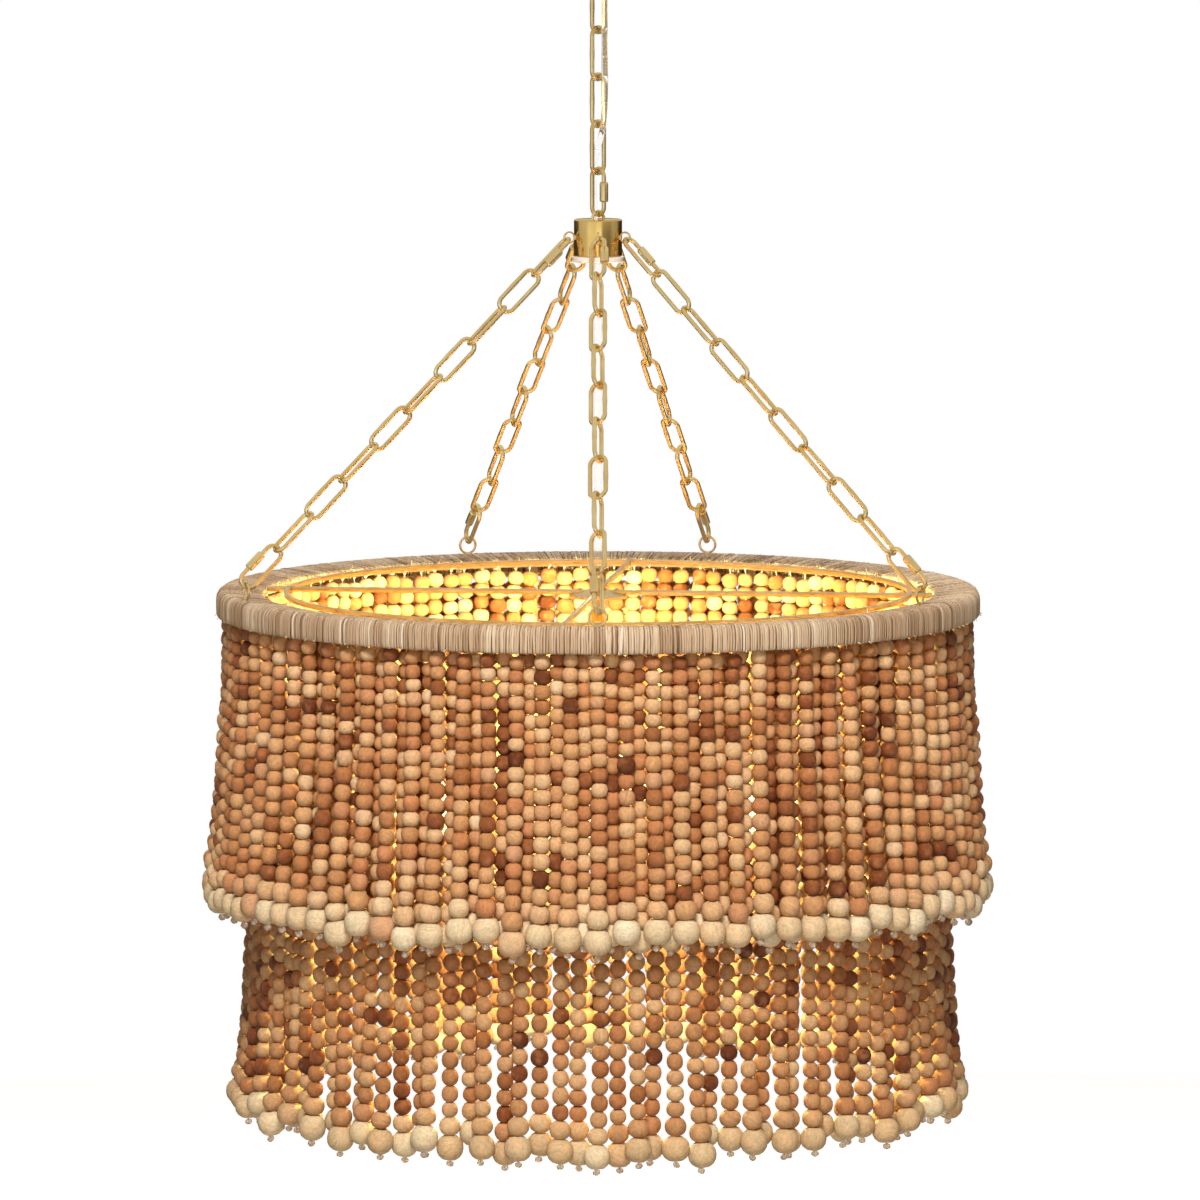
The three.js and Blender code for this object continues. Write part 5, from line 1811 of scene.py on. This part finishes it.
@dataclass
class Curtain:
    """A curtain of bead strands in eight sectors, each of which swings by itself.

    Heights and lengths are in millimetres. The bead stops give, from a height down, the width
    and height of a bead. The flare shares say how much of the way out to the hem's radius the
    curtain is at each share of its drop.
    """

    name: str
    finish: Material
    thread: Material
    seed: Material
    strands: int
    rows: tuple[Row, ...]
    top: float
    hem: float
    top_radius: float
    hem_radius: float
    drop_shares: tuple[float, ...]
    flare_shares: tuple[float, ...]
    bead_stops: tuple[Place, ...]
    neck_bead: Pair
    seed_size: Pair
    hem_spread: float
    hem_limits: Pair
    walls: tuple[Place, ...]
    dark_share: float
    pale_share: float
    bead_power: float
    random_seed: int
    bead_flat: float = 0.5
    sector_count: int = 8
    thread_radius: float = 0.42
    loop_radius: float = 0.5
    thread_sides: int = 5
    settling: Settling = field(default_factory=Settling)
    drawing: Drawing = Drawing()

    def radius_at(self, height: float, row: Row) -> float:
        """Returns how far from the axis a row hangs at that height."""
        share = (self.top - height) / (self.top - self.hem)
        flare = float(np.interp(share, self.drop_shares, self.flare_shares))
        depth = float(np.interp(share, [0.0, 0.8, 1.0], [row.depth, row.depth, row.hem_depth]))
        return self.top_radius + flare * (self.hem_radius - self.top_radius) - depth

    def bead_size(self, height: float) -> Pair:
        """Returns the width and height of a bead at that height."""
        below = [stop for stop in self.bead_stops if height <= stop[0]]
        return below[-1][1:] if below else self.bead_stops[0][1:]

    def tone(self, rng: Draws, strand_tone: float) -> float:
        """Draws a bead's tone: near its strand's own, with a few dark and pinkish ones."""
        draw, odds = rng.random(), self.drawing
        if draw < self.dark_share:
            return float(rng.uniform(*odds.dark_tone))
        if draw > odds.pink_from:
            return float(rng.uniform(*odds.pink_tone))
        return float(np.clip(strand_tone + rng.normal(0, odds.bead_tone), *odds.bead_tone_limits))

    def threaded(self, start: float, floor: float, rng: Draws) -> list[Pair]:
        """Draws the beads that fill a strand, stretched to end just where its neck bead starts.

        Args:
            start: The height of the strand's top.
            floor: The height of the neck bead's top.
            rng: The source of the sizes.

        Returns:
            The width and height of each bead, from the top down.
        """
        beads: list[Pair] = []
        height = start
        while True:
            width, tall = self.bead_size(height)
            tall *= float(rng.uniform(*self.drawing.bead_height))
            if height - tall < floor - tall * 0.45:
                break
            beads.append((width * float(rng.uniform(*self.drawing.bead_width)), tall))
            height -= tall
        stretch = (start - floor) / (start - height)
        return [(width, tall * stretch) for width, tall in beads]

    def strand(self, number: int, angle: float, row: Row, beads: list[Bead], seeds: list[Bead],
               rng: Draws) -> None:
        """Threads one strand from its top to its hem bead and seed.

        Args:
            number: The strand's number in the curtain.
            angle: Where it hangs about the axis.
            row: The row that it belongs to.
            beads: Takes the wooden beads.
            seeds: Takes the seed bead.
            rng: The source of its small differences.
        """
        odds = self.drawing
        slack = float(np.clip(rng.normal(0, self.hem_spread), *self.hem_limits))
        hem = self.hem + row.hem_shift + slack
        drift = rng.normal(0, odds.drift) / self.top_radius
        wave, phase = rng.uniform(*odds.wave) / self.top_radius, rng.uniform(0, FULL_TURN)
        push = float(rng.normal(0, odds.push))

        def at(height: float) -> Array:
            """Returns the thread's place at that height."""
            share = (self.top - height) / (self.top - hem)
            turn = angle + drift * share + wave * math.sin(phase + share * odds.wave_turns)
            radius = self.radius_at(height, row) + push * min(1.0, share * 2)
            return np.array([radius * math.cos(turn), radius * math.sin(turn), height])

        neck_width, neck_height = self.neck_bead
        neck_height *= float(rng.uniform(*odds.neck_height))
        scale = float(rng.uniform(*odds.hem_scale))
        hem_width, hem_tall = row.hem_width * scale, row.hem_height * scale
        strand_tone = float(np.clip(rng.normal(*odds.strand_tone), *odds.strand_tone_limits))
        start = self.top - float(rng.uniform(*odds.start_drop))
        height = start
        for width, tall in self.threaded(start, hem + hem_tall / 2 + neck_height, rng):
            loose = float(np.interp(start - height, odds.loose_drops, odds.loose_shares))
            jitter = rng.normal(0, odds.jitter * loose, 3) * np.array([1.0, 1.0, 0.3])
            way = np.array([*rng.normal(0, odds.lean * loose, 2), 1.0])
            tone = self.tone(rng, strand_tone)
            beads.append(Bead(at(height - tall / 2) + jitter, (width, tall * 0.985), tone, way,
                              number))
            height -= tall
        lean = np.array([*rng.normal(0, odds.hem_lean, 2), 1.0])
        neck = hem + hem_tall / 2 + neck_height / 2
        tones = [rng.uniform(*limits) for limits in odds.neck_tones]
        tone = float(rng.choice(tones, p=odds.neck_shares))
        neck_width *= float(rng.uniform(*odds.neck_width))
        beads.append(Bead(at(neck), (neck_width, neck_height), tone, lean, number))
        pale = rng.random() < self.pale_share
        tone = float(rng.uniform(*(odds.pale_hem_tone if pale else odds.plain_hem_tone)))
        beads.append(Bead(at(hem), (hem_width, hem_tall), tone, lean, number))
        wide, deep = self.seed_size
        low = hem - hem_tall / 2 - 0.6 - deep / 2
        way = np.array([*rng.normal(0, odds.seed_lean, 2), 1.0])
        aside = rng.normal(0, odds.jitter, 2)
        seeds.append(Bead(np.array([*aside, low]), (wide, deep), 0.5, way, number))

    def top_loop(self, angle: float, row: Row, strings: MeshMaker, rng: Draws) -> None:
        """Loops the thread over the hoop above the strand, a little aslant."""
        hoop_inset, half_width, low, rise = 3.4, 2.75, 1.5, 5.2
        centre = self.top_radius - (hoop_inset if row.depth > 0 else 0.0)
        share = np.linspace(0, 1, 6)
        for side in (-1, 1):
            slant = side * float(rng.uniform(*self.drawing.loop_slant)) / self.top_radius
            radius = centre + side * half_width * np.sin(share * QUARTER_TURN)
            turn = angle + slant * share
            line = np.stack([radius * np.cos(turn), radius * np.sin(turn),
                             self.top - low + share * rise], axis=-1)
            strings.add(tube(line * MM, self.loop_radius * MM, self.thread_sides))

    def build(self) -> None:
        """Makes the beads, seeds and threads of every sector."""
        bead = unit_bead(16, 9, self.bead_power, self.bead_flat)
        small = unit_bead(10, 6, 2.1, 0.35)
        rng = np.random.default_rng(self.random_seed)
        sweep = FULL_TURN / self.sector_count
        beads, seeds = BeadList(), BeadList()
        hung: list[tuple[int, Row]] = []
        for sector in range(self.sector_count):
            for row in self.rows:
                for index in range(self.strands):
                    share = (index + row.phase) / self.strands
                    angle = sector * sweep - sweep / 2 + sweep * share
                    self.strand(len(hung), angle, row, beads.beads, seeds.beads, rng)
                    hung.append((sector, row))
        beads.settle(self.walls, self.settling)
        strands = np.array([one.strand for one in beads.beads])
        centres = np.array([one.centre for one in beads.beads])
        sectors = np.array([sector for sector, _ in hung])
        for number, drop in enumerate(seeds.beads):
            hem = centres[np.flatnonzero(strands == number)[-1]]
            drop.centre = drop.centre + np.array([hem[0], hem[1], 0.0])
        for sector in range(self.sector_count):
            body, slot = f"{self.name}_curtain_{sector + 1}", f"{self.name}_beads"
            chosen = np.flatnonzero(sectors[strands] == sector)
            made = beads.mesh(f"{self.name}_bead_strands_{sector + 1}", bead, chosen, rng)
            made.build(self.finish, body, slot, (body,))
            ends = np.flatnonzero(sectors == sector)
            drops = seeds.mesh(f"{self.name}_seed_beads_{sector + 1}", small, ends, rng)
            drops.build(self.seed, body, slot)
            strings = MeshMaker(f"{self.name}_threads_{sector + 1}")
            for number in ends:
                line = centres[strands == number]
                start = np.array([line[0][0], line[0][1], self.top + 0.2])
                end = seeds.beads[number].centre - np.array([0.0, 0.0, 0.4 * self.seed_size[1]])
                path = np.array([start, *line, end]) * MM
                strings.add(tube(path, self.thread_radius * MM, self.thread_sides))
                angle = math.atan2(line[0][1], line[0][0])
                self.top_loop(angle, hung[number][1], strings, rng)
            strings.build(self.thread, body, slot)


def upper_curtain(sizes: Sizes, finishes: Finishes) -> Curtain:
    """Returns the short outer curtain, which hangs in two staggered rows."""
    top = sizes.band_top - 23.9
    return Curtain(
        name="upper",
        finish=finishes.upper,
        thread=finishes.thread,
        seed=finishes.seed,
        strands=11,
        rows=(Row(26.4, 23.6), Row(22.0, 20.4, 1.0, 7.0, 11.9, 3.5)),
        top=top,
        hem=sizes.band_top - 284.6,
        top_radius=352.5,
        hem_radius=367.4,
        drop_shares=(0.0, 0.45, 0.93, 1.0),
        flare_shares=(0.0, 0.22, 0.86, 1.0),
        bead_stops=((top + 10, 15.2, 13.4), (top - 84, 16.7, 15.1)),
        neck_bead=(20.6, 17.4),
        seed_size=(7.6, 6.4),
        hem_spread=5.0,
        hem_limits=(-8.5, 8.5),
        walls=((top, 337.3, 381.0), (top - 260.7, 344.7, 381.0)),
        dark_share=0.05,
        pale_share=0.75,
        bead_power=2.3,
        random_seed=11)


def lower_curtain(sizes: Sizes, finishes: Finishes) -> Curtain:
    """Returns the long inner curtain, whose hem beads push each other into two layers."""
    top = sizes.band_top - 11.7
    return Curtain(
        name="lower",
        finish=finishes.lower,
        thread=finishes.thread,
        seed=finishes.seed,
        strands=15,
        rows=(Row(25.8, 23.0),),
        top=top,
        hem=sizes.band_top - 484.5,
        top_radius=325.0,
        hem_radius=338.2,
        drop_shares=(0.0, 0.45, 0.96, 1.0),
        flare_shares=(0.0, 0.35, 0.98, 1.0),
        bead_stops=((top + 10, 16.9, 13.8), (top - 120, 16.8, 14.8), (top - 255, 16.3, 15.5)),
        neck_bead=(20.4, 16.8),
        seed_size=(7.4, 5.6),
        hem_spread=4.8,
        hem_limits=(-7.2, 9.5),
        walls=((top, 300.0, 333.5), (top - 299.4, 300.0, 340.3), (top - 350.0, 300.0, 360.0),
               (top - 450.0, 300.0, 365.0)),
        dark_share=0.08,
        pale_share=0.5,
        bead_power=2.2,
        random_seed=23)


def main() -> None:
    """Builds the studio and the chandelier from the ceiling down."""
    logging.basicConfig(level=logging.INFO, format="%(name)s: %(message)s")
    sizes, finishes = Sizes(), Finishes()
    Studio().build()
    first_contact = CeilingFixing(sizes, finishes).build()
    MainChain(sizes, finishes).build(first_contact)
    for part in (Hub, SideChains, ReedBand, Cross, Lamps):
        part(sizes, finishes).build()
    upper_curtain(sizes, finishes).build()
    lower_curtain(sizes, finishes).build()


if __name__ == "__main__":
    main()
